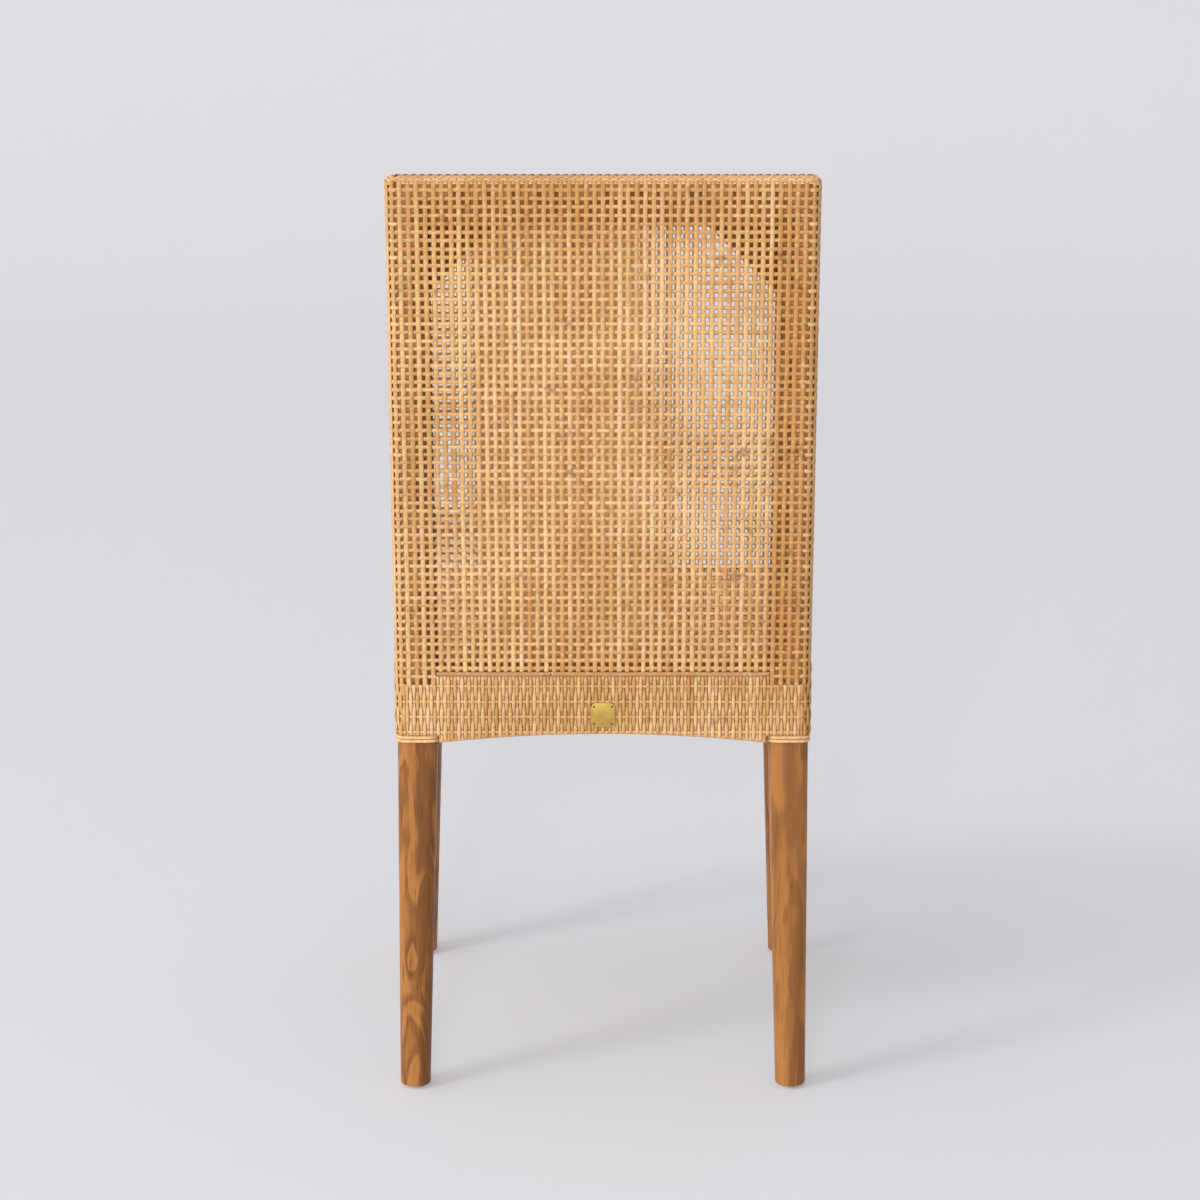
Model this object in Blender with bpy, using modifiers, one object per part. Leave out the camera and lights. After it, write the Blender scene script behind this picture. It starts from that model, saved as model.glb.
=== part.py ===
"""Dining chair with a tapered teak frame, dressed in woven cane.

Metres, +Z up. The sitter faces -Y and the sitter's left hand is on +X.
Heights are above the floor. Depths count from the rear face of the back at seat height, with -Y
towards the sitter's knees, and the whole chair is moved at the end so that its footprint is centred.
"""

import bpy
import bmesh
from math import atan2, copysign, cos, pi, sin
from mathutils import Matrix, Vector

# Overall sizes, all over the cane
overall_height = 1.032
back_width = 0.458
front_width = 0.4756
seat_height = 0.485
seat_depth = 0.462
back_rake = 0.075
back_depth_at_seat = 0.049
back_depth_at_top = 0.034
bend_length = 0.030

# Fits
fit_gap = 0.0003
overrun = 0.004

# Cane
cane_thickness = 0.0027
corner_radius = 0.0125
strand_lip = 0.002
batten_drop = 0.0115
batten_height = 0.0055
batten_stand_proud = 0.0006
braid_height = 0.0145
cap_clearance = 0.0008
arch_rise = 0.0104
step_width = 0.0006

# Legs
leg_width = 0.043
foot_width = 0.0337
foot_rounding = 0.002
apron_height = 0.088
rear_foot_splay = 0.025
rear_foot_flare = 0.0009
front_foot_splay = 0.002
front_foot_flare = 0.0034
collar_thickness = 0.0022
collar_height = 0.0081

# Glides
glide_height = 0.003
glide_radius = 0.0115
glide_edge = 0.0008
glide_nail_radius = 0.0014
glide_nail_length = 0.014

# Back frame
side_frame_width = 0.047
top_frame_height = 0.0534
opening_corner = 0.072
top_tenon_length = 0.022
top_tenon_thickness = 0.010
top_tenon_shoulder = 0.009
gusset_thickness = 0.020
dowel_radius = 0.004
dowel_length = 0.032

# Seat frame
rail_thickness = 0.022
tenon_length = 0.020
tenon_thickness = 0.010
tenon_height = 0.042
tenon_shoulder = 0.014
slat_width = 0.055
slat_thickness = 0.012
slat_seat = 0.012
slat_edge = 0.0015
block_leg = 0.050
block_height = 0.045
bolt_radius = 0.003
bolt_head_radius = 0.006
bolt_head_height = 0.004
bolt_length = 0.048

# Brass plate and small pins
plate_width = 0.0275
plate_thickness = 0.001
plate_corner = 0.005
plate_drop = 0.0553
plate_pin_inset = 0.004
plate_pin_radius = 0.0007
plate_pin_length = 0.012
pin_head_radius = 0.0012
pin_head_height = 0.0006
batten_joint = 0.0645
batten_pin_inset = 0.0074
batten_pin_radius = 0.0006
batten_pin_length = 0.010
batten_pin_head_radius = 0.0009
batten_pin_head_height = 0.0003

# Coarse stand-in for the open weave
net_gap_columns = 10
net_gap_rows = 12
net_strand_share = 0.55

# Counts of facets
arc_steps = 4
bend_steps = 3
arch_steps = 12
round_steps = 12
foot_steps = 3
slat_count = 3
unit = 1.0
quarter_turn = pi / 2
smooth_up_to = pi / 5

# Sizes that follow from those above
bare_leg_height = seat_height - apron_height
batten_bottom = seat_height - batten_drop
plate_height = seat_height - plate_drop
opening_half_width = back_width / 2 - side_frame_width
opening_top = overall_height - top_frame_height
skin_depth = cane_thickness + fit_gap
strand_reach = corner_radius + strand_lip
wood_radius = corner_radius - skin_depth
frame_top = overall_height - cane_thickness - cap_clearance
rail_top = seat_height - skin_depth
foot_height = glide_height + fit_gap
batten_top = batten_bottom + batten_height
braid_bottom = overall_height - braid_height
collar_top = bare_leg_height + collar_height
post_outer = back_width / 2 - skin_depth
post_inner = opening_half_width + fit_gap
front_leg_outer = front_width / 2 - skin_depth
front_leg_inner = front_leg_outer - leg_width
post_front = -back_depth_at_seat + skin_depth
leg_front = -seat_depth + skin_depth
leg_rear = leg_front + leg_width
flare = (front_width - back_width) / 2
bend_start = seat_height
bend_end = seat_height + bend_length
bend_middle = (bend_start + bend_end) / 2
rear_slope = back_rake / (overall_height - bend_middle)
front_slope = (back_rake + back_depth_at_seat - back_depth_at_top) / (overall_height - bend_middle)

# Colours as linear values
TEAK = (0.42, 0.20, 0.075)
FRAME_WOOD = (0.30, 0.15, 0.065)
CANE = (0.62, 0.40, 0.19)
PALE_CANE = (0.68, 0.47, 0.24)
BATTEN_CANE = (0.50, 0.27, 0.14)
BRASS = (0.56, 0.40, 0.14)
STEEL = (0.55, 0.55, 0.55)
PLASTIC = (0.80, 0.78, 0.72)


def clear_scene():
    for obj in list(bpy.data.objects):
        bpy.data.objects.remove(obj)


def new_collection(name):
    collection = bpy.data.collections.new(name)
    bpy.context.scene.collection.children.link(collection)
    return collection


clear_scene()
parts = new_collection("cane_back_chair")
cutters = new_collection("cutters")
chair = bpy.data.objects.new("chair_frame", None)
parts.objects.link(chair)


def make_material(name, colour, roughness, metallic=0.0):
    material = bpy.data.materials.new(name)
    material.use_nodes = True
    shader = material.node_tree.nodes["Principled BSDF"]
    shader.inputs["Base Color"].default_value = (*colour, 1.0)
    shader.inputs["Roughness"].default_value = roughness
    shader.inputs["Metallic"].default_value = metallic
    material.diffuse_color = (*colour, 1.0)
    return material


teak = make_material("teak", TEAK, 0.5)
frame_wood = make_material("frame_wood", FRAME_WOOD, 0.7)
cane = make_material("cane", CANE, 0.55)
pale_cane = make_material("pale_cane", PALE_CANE, 0.5)
batten_cane = make_material("batten_cane", BATTEN_CANE, 0.5)
brass = make_material("brass", BRASS, 0.4, 1.0)
steel = make_material("steel", STEEL, 0.35, 1.0)
plastic = make_material("plastic", PLASTIC, 0.45)


def add_part(name, mesh, material):
    obj = bpy.data.objects.new(name, mesh)
    obj.parent = chair
    if not mesh.materials:
        mesh.materials.append(material)
    parts.objects.link(obj)
    return obj


def add_cutter(name, mesh):
    obj = bpy.data.objects.new(name, mesh)
    obj.parent = chair
    obj.hide_render = True
    obj.display_type = "WIRE"
    cutters.objects.link(obj)
    return obj


def finish_mesh(bm, name):
    """Turns the faces outwards and hands back a mesh."""
    bmesh.ops.recalc_face_normals(bm, faces=bm.faces)
    mesh = bpy.data.meshes.new(name)
    bm.to_mesh(mesh)
    bm.free()
    return mesh


def combine(obj, other, operation):
    modifier = obj.modifiers.new(f"{operation.lower()}_{other.name}", "BOOLEAN")
    modifier.operation = operation
    modifier.object = other
    modifier.solver = "EXACT"


def smooth(obj):
    obj.data.shade_smooth()
    obj.data.set_sharp_from_angle(angle=smooth_up_to)


def side_name(side):
    return "left" if side > 0 else "right"


# Profiles of the chair

def lean(height, slope):
    """How far a face has moved back at a height: upright, then a short bend, then a straight slope."""
    if height <= bend_start:
        return 0.0
    if height >= bend_end:
        return slope * (height - bend_middle)
    return slope * (height - bend_start) ** 2 / (2 * bend_length)


def rear_face(height):
    return lean(height, rear_slope)


def front_face(height):
    return -back_depth_at_seat + lean(height, front_slope)


def bend_levels(bottom, top):
    """The heights at which a piece of the back has its rings of points."""
    steps = [bend_start + bend_length * step / bend_steps for step in range(bend_steps + 1)]
    return [bottom] + [step for step in steps if bottom < step < top] + [top]


def flare_at(depth):
    """How far the side of the seat has widened at a depth, between the post and the front leg."""
    share = (post_front - depth) / (post_front - leg_rear)
    return flare * min(max(share, 0.0), 1.0)


def arch(along, half_span):
    """Height of the arched lower edge of an apron, at a distance from its middle."""
    return bare_leg_height + arch_rise * (1 - min(abs(along) / half_span, 1.0) ** 2)


def rail_bottom(along, half_span):
    return max(arch(along, half_span) + skin_depth, collar_top + fit_gap)


# Shapes

def stacked_block(sections):
    """A block through level rectangles, each given as height, x range and y range."""
    bm = bmesh.new()
    bmesh.ops.create_cube(bm, size=unit)
    corners = {vert: (vert.co.x > 0, vert.co.y > 0) for vert in bm.verts}
    lower = [vert for vert in bm.verts if vert.co.z < 0]
    upper = [vert for vert in bm.verts if vert.co.z > 0]
    cap = next(face for face in bm.faces if faces_along(face, 2) > 0)
    place_section(lower, corners, sections[0])
    place_section(upper, corners, sections[1])
    for section in sections[2:]:
        cap = draw_out(bm, cap)
        middle = cap.calc_center_median()
        for vert in cap.verts:
            corners[vert] = (vert.co.x > middle.x, vert.co.y > middle.y)
        place_section(cap.verts, corners, section)
    return bm


def draw_out(bm, cap):
    """Extrudes an end face, and hands back the new end."""
    raised = bmesh.ops.extrude_face_region(bm, geom=[cap])["geom"]
    bmesh.ops.delete(bm, geom=[cap], context="FACES_ONLY")
    return next(item for item in raised if isinstance(item, bmesh.types.BMFace))


def place_section(verts, corners, section):
    height, x_range, y_range = section
    for vert in verts:
        right, far = corners[vert]
        vert.co = (max(x_range) if right else min(x_range), max(y_range) if far else min(y_range), height)


def box(x_range, y_range, z_range):
    return stacked_block([(z_range[0], x_range, y_range), (z_range[1], x_range, y_range)])


def faces_along(face, axis):
    """Which way a face points along an axis: 1, -1, or 0 where it mostly points elsewhere."""
    return round(face.normal[axis])


def weight_edges(bm, weight_of):
    """Gives each edge its share of the bevel's width."""
    layer = bm.edges.layers.float.new("bevel_weight_edge")
    for edge in bm.edges:
        edge[layer] = weight_of(edge)


def is_upright(edge):
    run = edge.verts[1].co - edge.verts[0].co
    return abs(run.z) > abs(run.x) + abs(run.y)


def round_edges(obj, radius, steps=arc_steps):
    modifier = obj.modifiers.new("rounding", "BEVEL")
    modifier.limit_method = "WEIGHT"
    modifier.width = radius
    modifier.segments = steps


def ease_edges(obj, radius):
    modifier = obj.modifiers.new("eased_edges", "BEVEL")
    modifier.limit_method = "ANGLE"
    modifier.width = radius
    modifier.segments = 1


def plate(outline, thickness, to_chair):
    """A flat outline filled and made thick, then laid in the chair by a function of its three coordinates."""
    curve = bpy.data.curves.new("outline", "CURVE")
    curve.dimensions = "2D"
    curve.fill_mode = "BOTH"
    curve.extrude = thickness / 2
    spline = curve.splines.new("POLY")
    spline.points.add(len(outline) - 1)
    for point, place in zip(spline.points, outline):
        point.co = (*place, 0.0, 1.0)
    spline.use_cyclic_u = True
    guide = bpy.data.objects.new("outline", curve)
    parts.objects.link(guide)
    graph = bpy.context.evaluated_depsgraph_get()
    mesh = bpy.data.meshes.new_from_object(guide.evaluated_get(graph))
    bpy.data.objects.remove(guide)
    bm = bmesh.new()
    bm.from_mesh(mesh)
    bpy.data.meshes.remove(mesh)
    bmesh.ops.remove_doubles(bm, verts=bm.verts, dist=fit_gap / 30)
    for vert in bm.verts:
        vert.co = to_chair(*vert.co)
    return bm


def sheet(name, across, upward, place, outward, material, is_gap=None):
    """A cane skin: a grid of points laid by a function, made thick towards the frame."""
    bm = bmesh.new()
    bmesh.ops.create_grid(bm, x_segments=across, y_segments=upward, size=unit / 2)
    bmesh.ops.translate(bm, verts=bm.verts, vec=(unit / 2, unit / 2, 0.0))
    cells = {}
    for face in bm.faces:
        middle = face.calc_center_median()
        cells[face] = (int(middle.x * across), int(middle.y * upward))
    for vert in bm.verts:
        vert.co = place(round(vert.co.x * across), round(vert.co.y * upward))
    if is_gap:
        gaps = [face for face, cell in cells.items() if is_gap(*cell)]
        bmesh.ops.delete(bm, geom=gaps, context="FACES")
    bm.normal_update()
    if sum(face.normal.dot(outward) for face in bm.faces) < 0:
        bmesh.ops.reverse_faces(bm, faces=bm.faces)
    mesh = bpy.data.meshes.new(name)
    bm.to_mesh(mesh)
    bm.free()
    obj = add_part(name, mesh, material)
    thicken(obj, cane_thickness, -1.0)
    return obj


def thicken(obj, thickness, offset):
    modifier = obj.modifiers.new("thickness", "SOLIDIFY")
    modifier.thickness = thickness
    modifier.offset = offset
    modifier.use_even_offset = True


def turned(name, profile):
    """A turned solid about Z, from a profile that runs down its outer side."""
    mesh = bpy.data.meshes.new(name)
    edges = [(index, index + 1) for index in range(len(profile) - 1)]
    mesh.from_pydata([(radius, 0.0, height) for radius, height in profile], edges, [])
    guide = bpy.data.objects.new(name, mesh)
    parts.objects.link(guide)
    modifier = guide.modifiers.new("turning", "SCREW")
    modifier.steps = round_steps
    modifier.render_steps = round_steps
    modifier.use_merge_vertices = True
    modifier.merge_threshold = fit_gap / 10
    graph = bpy.context.evaluated_depsgraph_get()
    solid = bpy.data.meshes.new_from_object(guide.evaluated_get(graph))
    bpy.data.objects.remove(guide)
    solid.shade_smooth()
    solid.set_sharp_from_angle(angle=smooth_up_to)
    return solid


def add_at(name, mesh, material, placing):
    """Puts a turned piece in its place, so that like pieces can share one mesh."""
    obj = add_part(name, mesh, material)
    obj.location = placing.to_translation()
    obj.rotation_euler = placing.to_euler()


def rod_cutter(name, radius, length, placing):
    """A round cutter that runs from zero to a length along the placing's own Z."""
    bm = bmesh.new()
    bmesh.ops.create_cone(
        bm, cap_ends=True, segments=round_steps, radius1=radius, radius2=radius, depth=length
    )
    bmesh.ops.translate(bm, verts=bm.verts, vec=(0.0, 0.0, length / 2))
    bmesh.ops.transform(bm, matrix=placing, verts=bm.verts)
    return add_cutter(name, finish_mesh(bm, name))


def aimed(place, direction):
    """A matrix that moves a piece to a place and turns its Z to a direction."""
    turn = Vector(direction).to_track_quat("Z", "Y").to_matrix().to_4x4()
    return Matrix.Translation(place) @ turn


def pin_profile(head_radius, head_height, radius, length):
    """A round head above zero, and a shank below it."""
    return [(0.0, head_height), (head_radius, head_height / 2), (head_radius, 0.0), (radius, 0.0),
            (radius, -length), (0.0, -length)]


# Legs and posts

def leg_object(name, sections, foot):
    """A post with rounded edges, drawn down from its lowest section into the bare leg."""
    bm = stacked_block(sections)
    top = max(vert.co.z for vert in bm.verts)
    weight_edges(bm, lambda edge: 1.0 if is_upright(edge) or edge.verts[0].co.z == top else 0.0)
    obj = add_part(name, finish_mesh(bm, name), teak)
    round_edges(obj, wood_radius)
    bm = bmesh.new()
    bm.from_object(obj, bpy.context.evaluated_depsgraph_get())
    obj.modifiers.clear()
    draw_bare_leg(bm, sections[0], foot)
    obj.data = finish_mesh(bm, name)
    obj.data.materials.append(teak)
    smooth(obj)
    return obj


def draw_bare_leg(bm, section, foot):
    """The rounded section turns into a circle on its way down to the foot."""
    cap = min(bm.faces, key=lambda face: face.calc_center_median().z)
    directions = [opened_corner(vert.co, section) for vert in cap.verts]
    for height, radius in foot_levels():
        places = {tuple(vert.co): direction for vert, direction in zip(cap.verts, directions)}
        cap = draw_out(bm, cap)
        directions = [places[tuple(vert.co)] for vert in cap.verts]
        for vert, direction in zip(cap.verts, directions):
            vert.co = foot + radius * direction + Vector((0.0, 0.0, height))


def opened_corner(co, section):
    """The direction on a circle of a point of the rounded section, whose corners open out evenly."""
    sides = [(point - sum(limits) / 2, abs(limits[1] - limits[0]) / 2 - wood_radius)
             for point, limits in zip(co, section[1:])]
    (across, room_across), (along, room_along) = sides
    turn = atan2(abs(along) - room_along, abs(across) - room_across)
    opened = (turn * arc_steps + quarter_turn / 2) / (arc_steps + 1)
    return Vector((copysign(cos(opened), across), copysign(sin(opened), along), 0.0))


def foot_levels():
    """Heights and radii from the straight end of the leg round the edge of its foot."""
    turns = [quarter_turn * step / foot_steps for step in range(foot_steps + 1)]
    return [(foot_height + foot_rounding * (1 - sin(turn)), foot_width / 2 - foot_rounding * (1 - cos(turn)))
            for turn in turns]


def post_depths(height):
    return (front_face(height) + skin_depth, rear_face(height) - skin_depth)


def rear_leg(side):
    """The bare tapered leg and the raked back post above it, in one piece."""
    sections = [(height, (side * post_inner, side * post_outer), post_depths(height))
                for height in bend_levels(bare_leg_height, frame_top)]
    return leg_object(f"rear_leg_{side_name(side)}", sections, foot_centre(side, True))


def front_leg(side):
    sections = [(height, (side * front_leg_inner, side * front_leg_outer), (leg_front, leg_rear))
                for height in (bare_leg_height, rail_top)]
    return leg_object(f"front_leg_{side_name(side)}", sections, foot_centre(side, False))


def foot_centre(side, is_rear):
    if is_rear:
        return Vector((side * (post_outer + rear_foot_flare - foot_width / 2),
                       rear_foot_splay - skin_depth - foot_width / 2, 0.0))
    return Vector((side * (front_leg_outer + front_foot_flare - foot_width / 2),
                   leg_front - front_foot_splay + foot_width / 2, 0.0))


def glide_mesh():
    """A plastic disc with the nail that holds it to the foot."""
    return turned("glide", [
        (0.0, glide_height + glide_nail_length),
        (glide_nail_radius, glide_height + glide_nail_length),
        (glide_nail_radius, glide_height),
        (glide_radius - glide_edge, glide_height),
        (glide_radius, glide_height - glide_edge),
        (glide_radius, glide_edge),
        (glide_radius - glide_edge, 0.0),
        (0.0, 0.0),
    ])


def add_glide(name, mesh, centre, leg):
    add_at(name, mesh, plastic, Matrix.Translation(centre))
    start = Matrix.Translation(centre + Vector((0.0, 0.0, glide_height - overrun)))
    hole = rod_cutter(f"{name}_hole", glide_nail_radius + fit_gap,
                      glide_nail_length + overrun + fit_gap, start)
    combine(leg, hole, "DIFFERENCE")


def collar(name, x_range, y_range):
    """The flat strip that is wound round the top of the bare leg."""
    low = (min(x_range) - fit_gap, min(y_range) - fit_gap)
    high = (max(x_range) + fit_gap, max(y_range) + fit_gap)
    bm = box((low[0], high[0]), (low[1], high[1]), (bare_leg_height, collar_top))
    bm.normal_update()
    ends = [face for face in bm.faces if faces_along(face, 2)]
    bmesh.ops.delete(bm, geom=ends, context="FACES_ONLY")
    weight_edges(bm, lambda edge: 1.0 if is_upright(edge) else 0.0)
    obj = add_part(name, finish_mesh(bm, name), pale_cane)
    round_edges(obj, wood_radius + fit_gap)
    thicken(obj, collar_thickness, 1.0)
    smooth(obj)


# Back frame

def leaning_bar(x_range, z_range, inset):
    """A bar between the faces of the back frame, set in from each by the same amount."""
    sections = []
    for height in z_range:
        front, rear = post_depths(height)
        sections.append((height, x_range, (front + inset, rear - inset)))
    return stacked_block(sections)


def top_tenon_inset():
    front, rear = post_depths(frame_top)
    return (rear - front - top_tenon_thickness) / 2


def top_rail(legs):
    """The rail between the posts, tenoned into both."""
    reach = post_inner - fit_gap
    bm = leaning_bar((-reach, reach), (opening_top, frame_top), 0.0)
    weight_edges(bm, lambda edge: 1.0 if is_top_long_edge(edge) else 0.0)
    rail = add_part("top_rail", finish_mesh(bm, "top_rail"), frame_wood)
    round_edges(rail, wood_radius)
    low = opening_top + top_tenon_shoulder
    high = frame_top - wood_radius - top_tenon_shoulder
    end = post_inner + top_tenon_length
    tenon = leaning_bar((-end, end), (low, high), top_tenon_inset())
    combine(rail, add_cutter("top_tenon", finish_mesh(tenon, "top_tenon")), "UNION")
    for side, leg in legs.items():
        near = side * (post_inner - overrun)
        far = side * (end + fit_gap)
        mortise = leaning_bar((near, far), (low - fit_gap, high + fit_gap), top_tenon_inset() - fit_gap)
        name = f"top_mortise_{side_name(side)}"
        combine(leg, add_cutter(name, finish_mesh(mortise, name)), "DIFFERENCE")
    return rail


def is_top_long_edge(edge):
    along = edge.verts[1].co - edge.verts[0].co
    middle = (edge.verts[0].co.z + edge.verts[1].co.z) / 2
    return abs(along.x) > abs(along.y) + abs(along.z) and frame_top - middle < fit_gap


def gusset(side, leg, rail, dowel):
    """The triangular block that gives the opening its straight corner, held by two dowels."""
    edge = post_inner - fit_gap
    top = opening_top - fit_gap
    outline = [(edge, top), (edge - opening_corner, top), (edge, top - opening_corner)]
    centre_height = top - opening_corner / 3

    def to_chair(along, height, depth):
        front, rear = post_depths(height)
        return (side * along, (front + rear) / 2 + depth, height)

    name = f"gusset_{side_name(side)}"
    block = add_part(name, finish_mesh(plate(outline, gusset_thickness, to_chair), name), frame_wood)
    half = dowel_length / 2
    upward = Vector((side * (edge - opening_corner / 3), middle_depth(opening_top), opening_top - half))
    sideways = Vector((side * (post_inner - half), middle_depth(centre_height), centre_height))
    ways = {"top": (aimed(upward, (0.0, 0.0, 1.0)), rail), "side": (aimed(sideways, (side, 0.0, 0.0)), leg)}
    for way, (placing, joined) in ways.items():
        add_at(f"{name}_dowel_{way}", dowel, frame_wood, placing)
        start = placing @ Matrix.Translation((0.0, 0.0, -fit_gap))
        hole = rod_cutter(f"{name}_{way}_hole", dowel_radius + fit_gap, dowel_length + 2 * fit_gap, start)
        combine(block, hole, "DIFFERENCE")
        combine(joined, hole, "DIFFERENCE")


def middle_depth(height):
    front, rear = post_depths(height)
    return (front + rear) / 2


def dowel_mesh():
    profile = [(0.0, dowel_length), (dowel_radius, dowel_length), (dowel_radius, 0.0), (0.0, 0.0)]
    return turned("dowel", profile)


# Seat frame

def rail_outline(half_length, half_span):
    """Side view of a seat rail: straight top, arched lower edge that clears the leg collars."""
    steps = [half_length * (2 * step / arch_steps - 1) for step in range(arch_steps + 1)]
    lower = [(along, rail_bottom(along, half_span)) for along in steps]
    return [(-half_length, rail_top)] + lower + [(half_length, rail_top)]


def tenon_heights():
    high = rail_top - tenon_shoulder
    return (high - tenon_height, high)


def tenon_block(half_length, room):
    """A tenon through the whole rail, grown by a clearance where it cuts its mortise."""
    low, high = tenon_heights()
    half = tenon_thickness / 2 + room
    return box((-half_length, half_length), (-half, half), (low - room, high + room))


def cross_rail(name, half_length, depth, legs):
    """The front or the rear rail, which runs across the chair."""
    half_span = half_length + fit_gap
    outline = rail_outline(half_length, half_span)
    body = plate(outline, rail_thickness, lambda along, height, across: (along, depth + across, height))
    rail = add_part(name, finish_mesh(body, name), frame_wood)
    tenon = tenon_block(half_span + tenon_length, 0.0)
    bmesh.ops.translate(tenon, verts=tenon.verts, vec=(0.0, depth, 0.0))
    combine(rail, add_cutter(f"{name}_tenon", finish_mesh(tenon, f"{name}_tenon")), "UNION")
    mortise = tenon_block(half_span + tenon_length + fit_gap, fit_gap)
    bmesh.ops.translate(mortise, verts=mortise.verts, vec=(0.0, depth, 0.0))
    cutter = add_cutter(f"{name}_mortise", finish_mesh(mortise, f"{name}_mortise"))
    for leg in legs:
        combine(leg, cutter, "DIFFERENCE")
    return rail


def side_rail_centre():
    return post_outer - rail_thickness / 2


def side_rail(side, legs):
    """A side rail, which follows the flare of the seat from the post to the front leg."""
    middle = (post_front + leg_rear) / 2
    half_span = (post_front - leg_rear) / 2
    half_length = half_span - fit_gap
    centre = side_rail_centre()

    def to_chair(along, height, across):
        depth = middle + along
        return (side * (centre + across + flare_at(depth)), depth, height)

    def lay(bm):
        for vert in bm.verts:
            vert.co = to_chair(vert.co.x, vert.co.z, vert.co.y)
        return bm

    name = f"side_rail_{side_name(side)}"
    body = plate(rail_outline(half_length, half_span), rail_thickness, to_chair)
    rail = add_part(name, finish_mesh(body, name), frame_wood)
    tenon = lay(tenon_block(half_span + tenon_length, 0.0))
    combine(rail, add_cutter(f"{name}_tenon", finish_mesh(tenon, f"{name}_tenon")), "UNION")
    mortise = lay(tenon_block(half_span + tenon_length + fit_gap, fit_gap))
    cutter = add_cutter(f"{name}_mortise", finish_mesh(mortise, f"{name}_mortise"))
    for leg in legs:
        combine(leg, cutter, "DIFFERENCE")
    return rail


def rail_inner(depth):
    """Half the clear width between the side rails at a depth."""
    return post_outer - rail_thickness + flare_at(depth)


def seat_slat(number, rails):
    """A slat under the woven seat, let into a notch in the top of each side rail."""
    spacing = (post_front - leg_rear) / (slat_count + 1)
    middle = post_front - spacing * (number + 1)
    y_range = (middle - slat_width / 2, middle + slat_width / 2)
    reach = rail_inner(0.0) + slat_seat
    bm = box((-reach + fit_gap, reach - fit_gap), y_range, (rail_top - slat_thickness, rail_top))
    follow_flare(bm)
    slat = add_part(f"seat_slat_{number + 1}", finish_mesh(bm, "seat_slat"), frame_wood)
    ease_edges(slat, slat_edge)
    notch_depths = (y_range[0] - fit_gap, y_range[1] + fit_gap)
    notch_heights = (rail_top - slat_thickness - fit_gap, rail_top + overrun)
    for side, rail in rails.items():
        near = side * (rail_inner(0.0) - overrun)
        notch = box((near, side * reach), notch_depths, notch_heights)
        follow_flare(notch)
        name = f"slat_notch_{number + 1}_{side_name(side)}"
        combine(rail, add_cutter(name, finish_mesh(notch, name)), "DIFFERENCE")


def follow_flare(bm):
    for vert in bm.verts:
        shift = flare_at(vert.co.y)
        vert.co.x += shift if vert.co.x > 0 else -shift


def corner_block(side, is_rear, leg, bolt):
    """A glue block across a corner of the seat frame, notched round the leg and bolted to it."""
    if is_rear:
        inner, leg_face, inward = post_inner, post_front, -1.0
        rail_face = -skin_depth - rail_thickness
    else:
        inner, leg_face, inward = front_leg_inner, leg_rear, 1.0
        rail_face = leg_front + rail_thickness
    edge = inner - fit_gap
    far = leg_face + inward * block_leg
    outline = [
        (edge, rail_face + inward * fit_gap),
        (edge - block_leg, rail_face + inward * fit_gap),
        (rail_inner(far) - fit_gap, far),
        (rail_inner(leg_face) - fit_gap, leg_face + inward * fit_gap),
        (edge, leg_face + inward * fit_gap),
    ]
    low, high = tenon_heights()
    middle = (low + high) / 2
    end = "rear" if is_rear else "front"
    name = f"corner_block_{end}_{side_name(side)}"
    bm = plate(outline, block_height, lambda x, y, z: (side * x, y, middle + z))
    block = add_part(name, finish_mesh(bm, name), frame_wood)
    face_ends = [Vector((side * x, y, middle)) for x, y in outline[1:3]]
    head = (face_ends[0] + face_ends[1]) / 2
    run = face_ends[1] - face_ends[0]
    into_leg = Vector((-run.y, run.x, 0.0)).normalized()
    if into_leg.x * side < 0:
        into_leg.negate()
    add_at(f"{name}_bolt", bolt, steel, aimed(head - into_leg * fit_gap, -into_leg))
    start = aimed(head - into_leg * overrun, into_leg)
    hole = rod_cutter(f"{name}_bolt_hole", bolt_radius + fit_gap, bolt_length + overrun + fit_gap, start)
    combine(block, hole, "DIFFERENCE")
    combine(leg, hole, "DIFFERENCE")


# Cane skins of the back

def net_lines(low, high, gap_count):
    """Edges of the gaps and strands of the open weave, from the first gap to the last."""
    pitch = (high - low) / (gap_count - net_strand_share)
    lines = []
    for gap in range(gap_count):
        start = low + pitch * gap
        lines += [start, start + pitch * (1 - net_strand_share)]
    return lines


def inside_opening(x_line, z_line):
    """Whether a corner of a gap lies inside the opening with its cut-off top corners."""
    return (opening_half_width - abs(x_line)) + (opening_top - z_line) >= opening_corner - fit_gap


def back_sheet(name, face_depth, bottom, outward):
    """The woven sheet over one face of the back: an open net, with a border that lies on the frame."""
    edge = back_width / 2 - strand_reach - fit_gap
    columns = [-edge] + net_lines(-opening_half_width, opening_half_width, net_gap_columns) + [edge]
    levels = bend_levels(bottom, bend_end)
    rows = levels + net_lines(bend_end + net_margin(), opening_top, net_gap_rows)
    rows = rows + [braid_bottom - fit_gap]

    def is_gap(column, row):
        if column % 2 == 0 or (row - len(levels)) % 2 == 1 or row < len(levels):
            return False
        if not (0 < column < len(columns) - 2 and row < len(rows) - 2):
            return False
        x_line = max(abs(columns[column]), abs(columns[column + 1]))
        return inside_opening(x_line, rows[row + 1])

    def place(column, row):
        return (columns[column], face_depth(rows[row]), rows[row])

    return sheet(name, len(columns) - 1, len(rows) - 1, place, outward, cane, is_gap)


def net_margin():
    """Height of the plain strip between the bend and the lowest gaps."""
    return bend_length / bend_steps


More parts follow.
